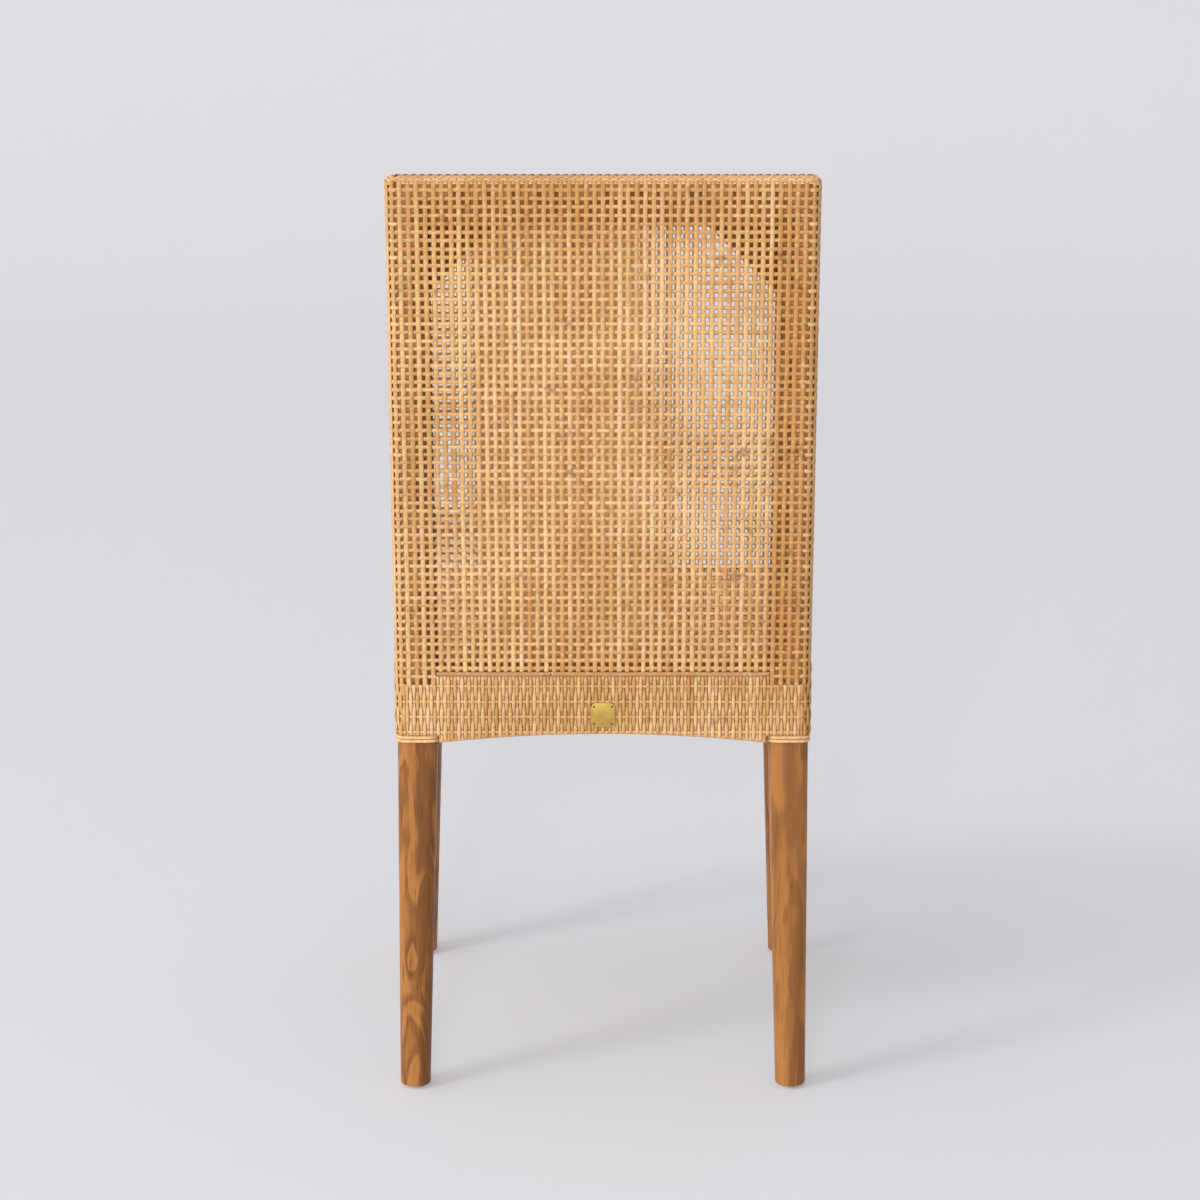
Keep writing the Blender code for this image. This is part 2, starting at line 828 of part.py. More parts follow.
def corner_strand(name, bottom, top, corner_at, side, facing):
    """A cane strand folded round an upright corner: a quarter of a tube with a flat lip on either hand."""
    levels = bend_levels(bottom, top)
    arc = [(sin(quarter_turn * step / arc_steps), cos(quarter_turn * step / arc_steps))
           for step in range(arc_steps + 1)]
    section = [(corner_radius * across, corner_radius * along) for across, along in arc]
    section = [(-strand_lip, corner_radius)] + section + [(corner_radius, -strand_lip)]

    def place(step, row):
        height = levels[row]
        x, y = corner_at(height)
        across, along = section[step]
        return Vector((side * (x - corner_radius + across), y + facing * (along - corner_radius), height))

    obj = sheet(name, len(section) - 1, len(levels) - 1, place, Vector((side, facing, 0.0)), pale_cane)
    smooth(obj)


def side_band(side):
    """The woven band down the side of the back, between the two folded corner strands."""
    levels = bend_levels(seat_height + fit_gap, braid_bottom - fit_gap)

    def place(column, row):
        height = levels[row]
        ends = (front_face(height) + strand_reach + fit_gap, rear_face(height) - strand_reach - fit_gap)
        return (side * back_width / 2, ends[column], height)

    name = f"cane_side_band_{side_name(side)}"
    sheet(name, 1, len(levels) - 1, place, Vector((side, 0.0, 0.0)), cane)


def top_braid():
    """The plaited cap over the top of the back: a rounded shell, open below."""
    sections = []
    for height in (braid_bottom, overall_height):
        sections.append((height, (-back_width / 2, back_width / 2), (front_face(height), rear_face(height))))
    bm = stacked_block(sections)
    floor = [face for face in bm.faces if faces_along(face, 2) < 0]
    bmesh.ops.delete(bm, geom=floor, context="FACES_ONLY")
    weight_edges(bm, lambda edge: 0.0 if edge.is_boundary else 1.0)
    mesh = bpy.data.meshes.new("top_braid")
    bm.to_mesh(mesh)
    bm.free()
    obj = add_part("top_braid", mesh, pale_cane)
    round_edges(obj, corner_radius)
    thicken(obj, cane_thickness, -1.0)
    smooth(obj)


# Cane skins of the seat

def apron_sheet(name, stops, lower, upper, place_plan, outward):
    """An apron from points along its run, each with a lower and an upper height."""
    def place(column, row):
        along = stops[column]
        height = upper(along) if row else lower(along)
        x, y = place_plan(along)
        return (x, y, height)

    return sheet(name, len(stops) - 1, 1, place, outward, cane)


def arch_stops(start, end):
    return [start + (end - start) * step / arch_steps for step in range(arch_steps + 1)]


def cross_apron(name, half_width, leg_inner, depth, outward, upper, extra_stops):
    """The rear or the front apron: short over the leg collars, arched between the legs."""
    clear = leg_inner - collar_thickness - 2 * fit_gap

    def lower(along):
        return collar_top + fit_gap if abs(along) > clear else arch(along, leg_inner)

    half_stops = [clear + step_width, half_width] + extra_stops
    stops = sorted(arch_stops(-clear, clear) + half_stops + [-stop for stop in half_stops])
    plan = lambda along: (along, depth)
    return apron_sheet(name, stops, lower, upper, plan, outward)


def rear_apron():
    """It stops below the batten between the posts, and meets the open weave over the posts."""
    edge = back_width / 2 - strand_reach - fit_gap
    batten_end = opening_half_width + fit_gap

    def upper(along):
        return batten_top if abs(along) > batten_end else batten_bottom - fit_gap

    return cross_apron("cane_apron_rear", edge, post_inner, 0.0, Vector((0.0, 1.0, 0.0)), upper,
                       [batten_end, batten_end + step_width])


def front_apron():
    edge = front_width / 2 - strand_reach - fit_gap
    cross_apron("cane_apron_front", edge, front_leg_inner, -seat_depth, Vector((0.0, -1.0, 0.0)),
                lambda along: rail_top, [])


def side_apron(side):
    """The side apron runs over the post, along the flared side and over the front leg."""
    rear_clear = post_front - collar_thickness - 2 * fit_gap
    front_clear = leg_rear + collar_thickness + 2 * fit_gap
    middle = (post_front + leg_rear) / 2
    half_span = (post_front - leg_rear) / 2
    back_line = -back_depth_at_seat - fit_gap

    def lower(along):
        if front_clear <= along <= rear_clear:
            return arch(along - middle, half_span)
        return collar_top + fit_gap

    def upper(along):
        return rail_top if along <= back_line else seat_height

    def plan(along):
        return (side * (back_width / 2 + flare_at(along)), along)

    ends = [-strand_reach - fit_gap, -seat_depth + strand_reach + fit_gap]
    over_legs = [rear_clear + step_width, front_clear - step_width, post_front, leg_rear]
    seat_steps = [back_line, back_line + step_width]
    inner = [stop for stop in arch_stops(front_clear, rear_clear)]
    stops = sorted(set(inner + ends + over_legs + seat_steps))
    apron_sheet(f"cane_apron_{side_name(side)}", stops, lower, upper, plan, Vector((side, 0.0, 0.0)))


def seat_cane():
    """The woven seat, over the rails and slats, with rounded front corners."""
    back_line = -back_depth_at_seat - fit_gap
    half = front_width / 2
    corner = [quarter_turn * step / arc_steps for step in range(arc_steps + 1)]
    front_arc = [(half - corner_radius + corner_radius * cos(turn),
                  -seat_depth + corner_radius - corner_radius * sin(turn)) for turn in corner]
    right = [(back_width / 2 + flare_at(back_line), back_line), (half, leg_rear)] + front_arc
    outline = right + [(-x, y) for x, y in reversed(right)]
    middle = seat_height - cane_thickness / 2
    bm = plate(outline, cane_thickness, lambda x, y, z: (x, y, middle + z))
    add_part("cane_seat", finish_mesh(bm, "cane_seat"), cane)


# Small trim on the rear apron

def rear_pin(name, mesh, material, x, height, proud, radius, length, targets):
    """A pin driven forward into the rear rail, its head standing on a surface, and its clearance holes."""
    placing = aimed(Vector((x, proud + fit_gap, height)), (0.0, 1.0, 0.0))
    add_at(name, mesh, material, placing)
    start = placing @ Matrix.Translation((0.0, 0.0, -length - fit_gap))
    hole = rod_cutter(f"{name}_hole", radius + fit_gap, length + overrun, start)
    for target in targets:
        combine(target, hole, "DIFFERENCE")


def brass_plate(apron, rail):
    """The plate, a rounded square, with a pin in each corner."""
    half = plate_width / 2
    centre = half - plate_corner
    outline = []
    for quarter, (x, z) in enumerate([(centre, centre), (-centre, centre), (-centre, -centre), (centre, -centre)]):
        for step in range(arc_steps + 1):
            turn = quarter_turn * (quarter + step / arc_steps)
            outline.append((x + plate_corner * cos(turn), z + plate_corner * sin(turn)))
    middle = fit_gap + plate_thickness / 2
    bm = plate(outline, plate_thickness, lambda x, z, y: (x, middle + y, plate_height + z))
    badge = add_part("brass_plate", finish_mesh(bm, "brass_plate"), brass)
    offset = half - plate_pin_inset
    profile = pin_profile(pin_head_radius, pin_head_height, plate_pin_radius, plate_pin_length)
    pin = turned("plate_pin", profile)
    corners = [(x, z) for z in (offset, -offset) for x in (offset, -offset)]
    for number, (x, z) in enumerate(corners):
        rear_pin(f"brass_plate_pin_{number + 1}", pin, brass, x, plate_height + z, fit_gap + plate_thickness,
                 plate_pin_radius, plate_pin_length, (badge, apron, rail))


def battens(rail):
    """Two lengths of batten that butt together, the longer one pinned beside the joint."""
    depths = (-skin_depth + fit_gap, batten_stand_proud)
    heights = (batten_bottom, batten_top - fit_gap)
    spans = {"left": (batten_joint + fit_gap / 2, opening_half_width),
             "right": (-opening_half_width, batten_joint - fit_gap / 2)}
    pieces = {}
    for label, span in spans.items():
        name = f"batten_{label}"
        pieces[label] = add_part(name, finish_mesh(box(span, depths, heights), name), batten_cane)
    profile = pin_profile(batten_pin_head_radius, batten_pin_head_height, batten_pin_radius, batten_pin_length)
    rear_pin("batten_pin", turned("batten_pin", profile), steel, batten_joint - batten_pin_inset,
             batten_bottom + batten_height / 2, batten_stand_proud, batten_pin_radius, batten_pin_length,
             (pieces["right"], rail))


# Assembly

def centre_footprint():
    """Moves the chair so that the middle of its footprint is at the origin."""
    bpy.context.view_layer.update()
    graph = bpy.context.evaluated_depsgraph_get()
    depths = []
    for obj in parts.objects:
        if obj.type == "MESH":
            solid = obj.evaluated_get(graph)
            depths += [(solid.matrix_world @ vert.co).y for vert in solid.data.vertices]
    chair.location.y = -(min(depths) + max(depths)) / 2


def build_frame():
    sides = (1.0, -1.0)
    rear_legs = {side: rear_leg(side) for side in sides}
    front_legs = {side: front_leg(side) for side in sides}
    disc = glide_mesh()
    for side in sides:
        label = side_name(side)
        add_glide(f"glide_rear_{label}", disc, foot_centre(side, True), rear_legs[side])
        add_glide(f"glide_front_{label}", disc, foot_centre(side, False), front_legs[side])
    rail = top_rail(rear_legs)
    dowel = dowel_mesh()
    for side in sides:
        gusset(side, rear_legs[side], rail, dowel)
    rear_rail = cross_rail("rear_rail", post_inner - fit_gap, -skin_depth - rail_thickness / 2,
                           rear_legs.values())
    cross_rail("front_rail", front_leg_inner - fit_gap, leg_front + rail_thickness / 2, front_legs.values())
    side_rails = {side: side_rail(side, (rear_legs[side], front_legs[side])) for side in sides}
    for number in range(slat_count):
        seat_slat(number, side_rails)
    bolt = turned("bolt", pin_profile(bolt_head_radius, bolt_head_height, bolt_radius, bolt_length))
    for side in sides:
        corner_block(side, True, rear_legs[side], bolt)
        corner_block(side, False, front_legs[side], bolt)
    return rear_rail


def build_cane(rear_rail):
    back_sheet("cane_back_rear", rear_face, batten_top + fit_gap, Vector((0.0, 1.0, 0.0)))
    back_sheet("cane_back_front", front_face, seat_height + fit_gap, Vector((0.0, -1.0, 0.0)))
    low = collar_top + fit_gap
    high = braid_bottom - fit_gap
    for side in (1.0, -1.0):
        label = side_name(side)
        corner_strand(f"corner_strand_rear_{label}", low, high,
                      lambda height: (back_width / 2, rear_face(height)), side, 1.0)
        corner_strand(f"corner_strand_front_{label}", seat_height + fit_gap, high,
                      lambda height: (back_width / 2, front_face(height)), side, -1.0)
        corner_strand(f"corner_strand_seat_{label}", low, rail_top,
                      lambda height: (front_width / 2, -seat_depth), side, -1.0)
        side_band(side)
        side_apron(side)
        collar(f"leg_collar_rear_{label}", (side * post_inner, side * post_outer), post_depths(bare_leg_height))
        collar(f"leg_collar_front_{label}", (side * front_leg_inner, side * front_leg_outer),
               (leg_front, leg_rear))
    top_braid()
    seat_cane()
    apron = rear_apron()
    front_apron()
    brass_plate(apron, rear_rail)
    battens(rear_rail)


build_cane(build_frame())
centre_footprint()
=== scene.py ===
from math import ceil, cos, pi, radians, sin, tau

import bmesh
import bpy
import numpy as np
from bpy.props import FloatProperty, FloatVectorProperty, IntProperty, PointerProperty
from bpy.types import NodeSocket, Operator, Panel, PropertyGroup
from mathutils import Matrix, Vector


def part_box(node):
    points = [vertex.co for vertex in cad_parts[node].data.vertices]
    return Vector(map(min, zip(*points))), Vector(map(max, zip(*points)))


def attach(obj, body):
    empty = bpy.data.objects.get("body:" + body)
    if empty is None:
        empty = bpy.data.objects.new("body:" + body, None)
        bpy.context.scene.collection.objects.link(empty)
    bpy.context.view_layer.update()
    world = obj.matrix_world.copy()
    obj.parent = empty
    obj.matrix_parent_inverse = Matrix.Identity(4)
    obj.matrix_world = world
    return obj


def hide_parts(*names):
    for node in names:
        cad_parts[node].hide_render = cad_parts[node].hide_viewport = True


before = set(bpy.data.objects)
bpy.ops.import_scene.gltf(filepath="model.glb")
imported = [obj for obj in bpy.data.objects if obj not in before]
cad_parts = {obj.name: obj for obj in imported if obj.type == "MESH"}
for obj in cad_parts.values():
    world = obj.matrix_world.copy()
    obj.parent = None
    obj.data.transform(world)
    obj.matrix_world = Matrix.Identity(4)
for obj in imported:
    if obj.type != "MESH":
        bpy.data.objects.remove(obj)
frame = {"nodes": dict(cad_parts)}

bl_info = {
    "name": "Cane Back Chair Looks",
    "version": (1, 0, 0),
    "blender": (4, 5, 0),
    "location": "3D View > Sidebar > Chair",
    "description": "Weaves the cane over the chair's frame, finishes its wood and metal, and sets the studio",
    "category": "Object",
}

# The sitter faces -Y, and the rear of the back is seen from +Y. Left and right are the sitter's.
SIDES = (("left", 1.0), ("right", -1.0))

# Sizes that the frame's solids follow: thickness of the cane, height over which the back starts to
# lean, and radius of the upright corners
SKIN = 0.003
BEND = 0.030
CORNER = 0.0125

# Places on the frame
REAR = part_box("cane_apron_rear")[1].y
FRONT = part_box("cane_apron_front")[0].y
BACK_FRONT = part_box("cane_back_front")[0].y
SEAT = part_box("cane_seat")[1].z
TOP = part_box("top_braid")[1].z
HALF_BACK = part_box("top_braid")[1].x
HALF_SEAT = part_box("cane_seat")[1].x
COLLAR_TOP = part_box("leg_collar_rear_left")[1].z
BATTEN_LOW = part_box("batten_left")[0].z
BATTEN_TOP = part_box("batten_left")[1].z
OPENING_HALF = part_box("batten_left")[1].x
FRONT_LEG_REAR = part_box("front_leg_left")[1].y

# Slack where strands meet an edge or a neighbour, from wide to hair-thin
RIM_COVER = 0.004
MARGIN = 0.001
COLLAR_GAP = 0.0004
HAIR = 0.0002

# The lower edge of an apron stays within this height above the collars
EDGE_RISE = 0.0095


def vertices(node):
    return [vert.co.copy() for vert in frame["nodes"][node].data.vertices]


def leaning_slope(node, reach, start):
    """Slope of a face of the back, from the corner of a node that reaches farthest."""
    corner = max(vertices(node), key=reach)
    return (corner.y - start) / (corner.z - SEAT - BEND / 2)


REAR_SLOPE = leaning_slope("cane_back_rear", lambda co: co.y, REAR)
FRONT_SLOPE = leaning_slope("cane_back_front", lambda co: co.z, BACK_FRONT)


# Settings

def length(name, description, default):
    return FloatProperty(name=name, description=description, default=default, min=0.0,
                         unit="LENGTH", precision=4)


def power(name, description, default):
    return FloatProperty(name=name, description=description, default=default, min=0.0,
                         subtype="POWER", unit="POWER")


def colour(name, description, default):
    return FloatVectorProperty(name=name, description=description, default=default, size=3,
                               min=0.0, max=1.0, subtype="COLOR")


class ChairCaneSettings(PropertyGroup):
    """Sizes and colours of the woven cane."""
    column_pitch: length("Column pitch", "Spacing of the upright strands of the open weave", 0.00885)
    row_pitch: length("Row pitch", "Spacing of the cross strands of the open weave", 0.00908)
    strand_width: length("Strand width", "Width of a strand of the open weave", 0.0049)
    strand_thickness: length("Strand thickness", "Thickness of a strand", 0.0009)
    close_pitch: length("Close pitch", "Spacing of the strands of the close weave", 0.00376)
    stake_pitch: length("Stake pitch", "Spacing of the stakes that the close weave goes round", 0.0174)
    edge_width: length("Edge width", "Width of the flat strands along the edges", 0.0074)
    wander: length("Wander", "How far a strand strays sideways", 0.0003)
    seed: IntProperty(name="Seed", description="Picks another arrangement of the strands", default=7)
    pale: colour("Pale cane", "Lightest strands", (0.85, 0.532, 0.268))
    deep: colour("Deep cane", "Darkest strands", (0.55, 0.262, 0.082))
    # Real flecks and dirt are mixed towards this colour, and so is painted shade at the edges of strands and
    # on the folded ends.
    stain_and_shade: colour("Stain And Shade", "Flecks, nodes and edges of the cane", (0.18, 0.060, 0.004))
    # Paler than the rear's cane: painted light, as the front layer seen through the rear's holes looks lit
    # from behind.
    inner: colour("Inner cane", "Lightest strands of the front of the back", (0.93, 0.62, 0.32))
    batten: colour("Batten cane", "Battens under the open weave", (0.50, 0.275, 0.13))


class ChairWoodSettings(PropertyGroup):
    """Colours of the wood."""
    light: colour("Light wood", "Pale part of the figure", (0.435, 0.179, 0.045))
    dark: colour("Dark wood", "Dark part of the figure", (0.070, 0.022, 0.005))
    frame: colour("Frame wood", "Plain wood under the cane", (0.34, 0.120, 0.018))


class ChairTrimSettings(PropertyGroup):
    """Colours of the metal and plastic pieces."""
    brass: colour("Brass", "Plate on the rear apron", (0.62, 0.43, 0.11))
    bronze: colour("Bronze", "Pins of the plate and of the battens", (0.16, 0.085, 0.03))
    steel: colour("Steel", "Bolts of the corner blocks", (0.36, 0.35, 0.34))
    plastic: colour("Plastic", "Glides under the legs", (0.62, 0.60, 0.55))


class ChairStageSettings(PropertyGroup):
    """Camera, light and background."""
    camera_height: length("Camera height", "Height of the lens above the floor", 1.5745)
    camera_distance: length("Camera distance", "From the rear of the chair to the lens", 4.0265)
    camera_side: FloatProperty(name="Camera side", description="How far the lens is off the middle",
                               default=0.0032, unit="LENGTH", precision=4)
    camera_pitch: FloatProperty(name="Camera pitch", description="How far the lens looks down",
                                default=radians(14.144), subtype="ANGLE")
    lens: FloatProperty(name="Lens", description="Focal length for a 36 mm frame", default=114.41,
                        min=1.0, subtype="DISTANCE_CAMERA")
    floor: colour("Floor", "Colour of the floor", (0.480, 0.479, 0.494))
    wall: colour("Wall", "Colour of the sweep behind the floor", (0.500, 0.499, 0.515))
    key: power("Key light", "Power of the large light", 245.0)
    fill: power("Fill light", "Power of the light beside the camera", 76.0)
    sky: FloatProperty(name="Surrounding light", description="Strength of the light from all round",
                       default=1.0, min=0.0)


# Faces that carry the cane: each turns two coordinates into points and outward normals

def unit(vectors):
    return vectors / np.linalg.norm(vectors, axis=-1, keepdims=True)


def spread(*columns):
    return np.stack(np.broadcast_arrays(*columns), axis=-1).astype(float)


def laid(face, first, second):
    """Points and normals of a face, where either coordinate may be a single number."""
    return face(*np.broadcast_arrays(first, second))


def lean(height, slope):
    """How far back the back has leant: upright, then a short bend, then straight."""
    bent = np.clip(height - SEAT, 0.0, BEND)
    return slope * (bent ** 2 / (2 * BEND) + np.maximum(height - SEAT - BEND, 0.0))


def rear_at(height):
    return REAR + lean(height, REAR_SLOPE)


def front_at(height):
    return BACK_FRONT + lean(height, FRONT_SLOPE)


def half_at(depth):
    """Half the width of the seat at a depth, which flares between the back and the front legs."""
    share = np.clip((BACK_FRONT + SKIN - depth) / (BACK_FRONT + SKIN - FRONT_LEG_REAR), 0.0, 1.0)
    return HALF_BACK + (HALF_SEAT - HALF_BACK) * share


def back_face(facing):
    """The rear (1) or the front (-1) of the back, from x and height."""
    line, slope = (rear_at, REAR_SLOPE) if facing > 0 else (front_at, FRONT_SLOPE)

    def face(x, height):
        tilt = slope * np.clip((height - SEAT) / BEND, 0.0, 1.0)
        return spread(x, line(height), height), unit(spread(0.0, facing, -facing * tilt))
    return face


def back_wrap(side):
    """The side of the back and both rounded corners beside it, from a share and height.

    The share runs from -1 at the rear through the flat side between 0 and 1 to 2 at the front.
    """
    def face(share, height):
        rear_turn = pi / 2 * (1 + np.clip(share, -1.0, 0.0))
        front_turn = pi / 2 * (2 - np.clip(share, 1.0, 2.0))
        outward = np.minimum(np.sin(rear_turn), np.sin(front_turn))
        flat_depth = rear_at(height) - front_at(height) - 2 * CORNER
        y = rear_at(height) - CORNER - flat_depth * np.clip(share, 0.0, 1.0)
        backward = np.cos(rear_turn) - np.cos(front_turn)
        points = spread(side * (HALF_BACK - CORNER + CORNER * outward), y + CORNER * backward, height)
        return points, unit(spread(side * outward, backward, 0.0))
    return face


def corner_face(side, facing, half, depth_at):
    """A rounded upright corner, from its turn away from the way it faces and height."""
    def face(turn, height):
        across, along = side * np.sin(turn), facing * np.cos(turn)
        x = side * (half - CORNER) + CORNER * across
        y = depth_at(height) - facing * CORNER + CORNER * along
        return spread(x, y, height), spread(across, along, 0.0)
    return face


def upright_face(depth, facing):
    """An upright face across the chair, from x and height."""
    return lambda x, height: (spread(x, depth, height), spread(0.0 * x, facing, 0.0))


def seat_side(side):
    """The flared side of the seat, from depth and height."""
    return lambda depth, height: (spread(side * half_at(depth), depth, height),
                                  spread(side + 0.0 * depth, 0.0, 0.0))


def seat_face(share, depth):
    """The top of the seat, from a share of its half width and depth."""
    return spread(share * half_at(depth), depth, SEAT), spread(0.0 * share, 0.0, 1.0)


# Sections of strands, as points across and up

SHOULDER, SHOULDER_RISE = 0.84, 0.35


def flat(width, thickness):
    """Section of a split strand: flat below, gently domed above."""
    half, rise = width / 2, thickness / 2
    return np.array([(-half, -rise), (-SHOULDER * half, SHOULDER_RISE * rise), (0.0, rise),
                     (SHOULDER * half, SHOULDER_RISE * rise), (half, -rise)])


def rod(width, thickness, sides=8):
    """Section of a rounded strand."""
    turns = pi - np.arange(sides) * tau / sides
    return np.stack([np.cos(turns) * width / 2, np.sin(turns) * thickness / 2], axis=1)


def bowed(width, radius, thickness, count=5):
    """Section of a strand that is bent across its width round a corner."""
    reach = width / 2 / radius
    turns = np.linspace(-reach, reach, count)
    outer = np.stack([radius * np.sin(turns), radius * np.cos(turns) - radius], axis=1)
    inner = (radius - thickness) / radius * outer[::-1] - np.array([0.0, thickness])
    return np.concatenate([outer, inner])


# Strands

SOFT_EDGE = radians(80)
# A stray adds a long wave and a short one: length of each, and its share
LONG_WAVE, LONG_SHARE = 0.13, 0.65
SHORT_WAVE, SHORT_SHARE = 0.047, 0.35


class Weave:
    """Gathers strands of cane, and makes one piece of them."""

    def __init__(self, seed):
        self.random = np.random.default_rng(seed)
        self.points, self.faces, self.marks = [], [], []
        self.count = 0

    def stray(self, along, amount):
        """A slow sideways drift along a strand."""
        starts = self.random.uniform(0.0, tau, 2)
        waves = (LONG_SHARE * np.sin(tau * along / LONG_WAVE + starts[0])
                 + SHORT_SHARE * np.sin(tau * along / SHORT_WAVE + starts[1]))
        return amount * waves

    def drift(self, along, amount):
        """A slow sideways drift along a strand, with a shift of the whole strand."""
        return self.stray(along, amount) + self.random.uniform(-1.0, 1.0) * amount

    def strand(self, points, normals, section, closed=False, scale=1.0, tone=None):
        """Sweeps a section along points, with its upper side towards the normals."""
        if closed:
            run = np.roll(points, -1, axis=0) - np.roll(points, 1, axis=0)
        else:
            run = np.gradient(points, axis=0)
        run = unit(run)
        across = unit(np.cross(normals, run))
        upward = np.cross(run, across)
        wide = np.broadcast_to(np.asarray(scale, float), len(points))[:, None, None]
        rings = (points[:, None] + across[:, None] * section[None, :, :1] * wide
                 + upward[:, None] * section[None, :, 1:])
        size, sides = len(points), len(section)
        first = self.count + sides * np.arange(size if closed else size - 1)[:, None]
        here = np.arange(sides)[None, :]
        following = (here + 1) % sides
        ahead = (first - self.count + sides) % (sides * size) + self.count
        quads = np.stack([first + here, ahead + here, ahead + following, first + following], axis=-1)
        self.faces += quads.reshape(-1, 4).tolist()
        if not closed:
            self.faces.append(list(range(self.count, self.count + sides)))
            last = self.count + sides * (size - 1)
            self.faces.append(list(range(last + sides - 1, last - 1, -1)))
        runs = np.linalg.norm(np.diff(points, axis=0, prepend=points[:1]), axis=1)
        tone = self.random.uniform() if tone is None else tone
        share = section[:, 0] / np.abs(section[:, 0]).max()
        marks = spread(share[None, :], np.cumsum(runs)[:, None], tone)
        self.points.append(rings.reshape(-1, 3))
        self.marks.append(marks.reshape(-1, 3))
        self.count += size * sides

    def over(self, face, first, second, lift, section, **options):
        """A strand laid over a face, its middle lifted above the wood."""
        points, normals = laid(face, first, second)
        points = points + normals * (np.asarray(lift) - SKIN)[..., None]
        self.strand(points, normals, section, **options)

    def piece(self, name, material, slot, *nodes):
        """The strands as one mesh, which stands for the given nodes of the frame."""
        mesh = bpy.data.meshes.new(name)
        mesh.from_pydata(np.concatenate(self.points), [], self.faces)
        strand = mesh.attributes.new("strand", "FLOAT_VECTOR", "POINT")
        strand.data.foreach_set("vector", np.concatenate(self.marks).ravel())
        mesh.shade_smooth()
        mesh.set_sharp_from_angle(angle=SOFT_EDGE)
        return add_piece(name, mesh, material, slot, *nodes)


def add_piece(name, mesh, material, slot, *nodes):
    """A mesh that rides on the frame and stands for the given nodes."""
    mesh.materials.append(material)
    piece = bpy.data.objects.new(name, mesh)
    bpy.context.scene.collection.objects.link(piece)
    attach(piece, "root")
    if nodes:
        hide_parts(*nodes)
    return piece


def steps(start, end, size):
    return np.linspace(start, end, max(int(ceil(abs(end - start) / size)), 1) + 1)


def between(lines):
    return (lines[:-1] + lines[1:]) / 2


def centred(count, pitch):
    return (np.arange(count) - (count - 1) / 2) * pitch


def filled(start, end, pitch):
    """Places of strands side by side that fill a span evenly."""
    count = round((end - start) / pitch)
    return start + (end - start) * (np.arange(count) + 0.5) / count


# Open weave: height of a strand's middle above the wood, how far it swings over and under, and how
# much higher the uprights lie than the crosses
PLAIN_LIFT = 0.00180
SWING = 0.00030
UPRIGHT_BIAS = 0.00022
POINTS_A_PITCH = 4
# Shares of the strand width
UPRIGHT_SHARES = (0.99, 1.12)
CROSS_SHARES = (0.84, 0.96)
FOLDED_SHARE = 0.92


def phase_of(lines, place):
    """Where a place lies among lines, as a count of lines."""
    order = np.argsort(lines)
    return np.interp(place, np.asarray(lines)[order], np.arange(len(lines))[order])


def swing_over(lines, place, number):
    """From 1 to -1 as a strand goes over and under the lines in turn."""
    return np.cos(pi * (phase_of(lines, place) + number))


def open_uprights(weave, face, columns, rows, span_of, cane, narrow=lambda x, height: 1.0):
    """Upright strands of a plain weave, over and under the rows in turn."""
    section = flat(cane.strand_width, cane.strand_thickness)
    for number, x in enumerate(columns):
        low, high = span_of(x)
        height = steps(high, low, cane.row_pitch / POINTS_A_PITCH)
        lift = PLAIN_LIFT + UPRIGHT_BIAS + SWING * swing_over(rows, height, number)
        drift = weave.drift(height, cane.wander)
        scale = weave.random.uniform(*UPRIGHT_SHARES) * narrow(x, height)
        weave.over(face, x + drift, height, lift, section, scale=scale)


def open_crosses(weave, face, columns, rows, span_of, cane, sag=lambda x, height: 0.0,
                 narrow=lambda x, height: 1.0):
    """Cross strands of a plain weave, opposite to the uprights at each crossing."""
    section = flat(cane.strand_width, cane.strand_thickness)
    for number, z in enumerate(rows):
        for start, end in span_of(z):
            x = steps(start, end, abs(columns[1] - columns[0]) / POINTS_A_PITCH)
            lift = PLAIN_LIFT - UPRIGHT_BIAS - SWING * swing_over(columns, x, number)
            drift = weave.drift(x, cane.wander)
            scale = weave.random.uniform(*CROSS_SHARES) * narrow(x, z)
            weave.over(face, x, z + drift + sag(x, z), lift, section, scale=scale)


# Folded ends that lie on the wood: long ones, and short ones above them. Their tones above 1 darken them as
# painted shade in the holes over the wood.
TAIL_LIFT, TAIL_TONE = 0.00038, 1.6
SHORT_TAIL_LIFT, SHORT_TAIL_TONE = 2.2 * TAIL_LIFT, 1.33
# Length of a short end, the chance that it is one pitch longer, and shares of the longest long end
SIDE_TAIL, SIDE_TAIL_CHANCE, SIDE_TAIL_SHARES = 0.0134, 0.3, (0.30, 0.85)
TOP_TAIL, TOP_TAIL_CHANCE, TOP_TAIL_SHARES = 0.0072, 0.45, (0.5, 1.1)
LONGEST_TOP_TAIL = 0.03
POST_BORDER = 0.009


def tails(weave, face, columns, rows, edge, top, cane):
    """Ends folded back under the weave along the sides and the top, which lie on the wood."""
    section = flat(cane.strand_width * FOLDED_SHARE, cane.strand_thickness / 2)

    def pair(short, pitch, chance, longest, shares, places_of):
        short = short + pitch * (weave.random.uniform() < chance)
        long = longest * weave.random.uniform(*shares)
        for span, lift, tone in ((long, TAIL_LIFT, TAIL_TONE), (short, SHORT_TAIL_LIFT, SHORT_TAIL_TONE)):
            weave.over(face, *places_of(span), lift, section, tone=tone)

    for height in between(rows):
        for side in (1.0, -1.0):
            pair(SIDE_TAIL, cane.column_pitch, SIDE_TAIL_CHANCE, HALF_BACK - OPENING_HALF - POST_BORDER,
                 SIDE_TAIL_SHARES,
                 lambda span: (steps(side * edge, side * (edge - span), cane.column_pitch), height))
    for x in between(columns):
        pair(TOP_TAIL, cane.row_pitch, TOP_TAIL_CHANCE, LONGEST_TOP_TAIL, TOP_TAIL_SHARES,
             lambda span: (x, steps(top, top - span, cane.row_pitch)))


# Where the front weave turns in: how far it goes down, where that starts, and its lift
TUCK = 0.0130
TURN_IN_START = TURN_IN_STEP = 0.005
TURN_IN_LIFT = 2.6 * TAIL_LIFT
STRAIGHT_STEP = 0.02


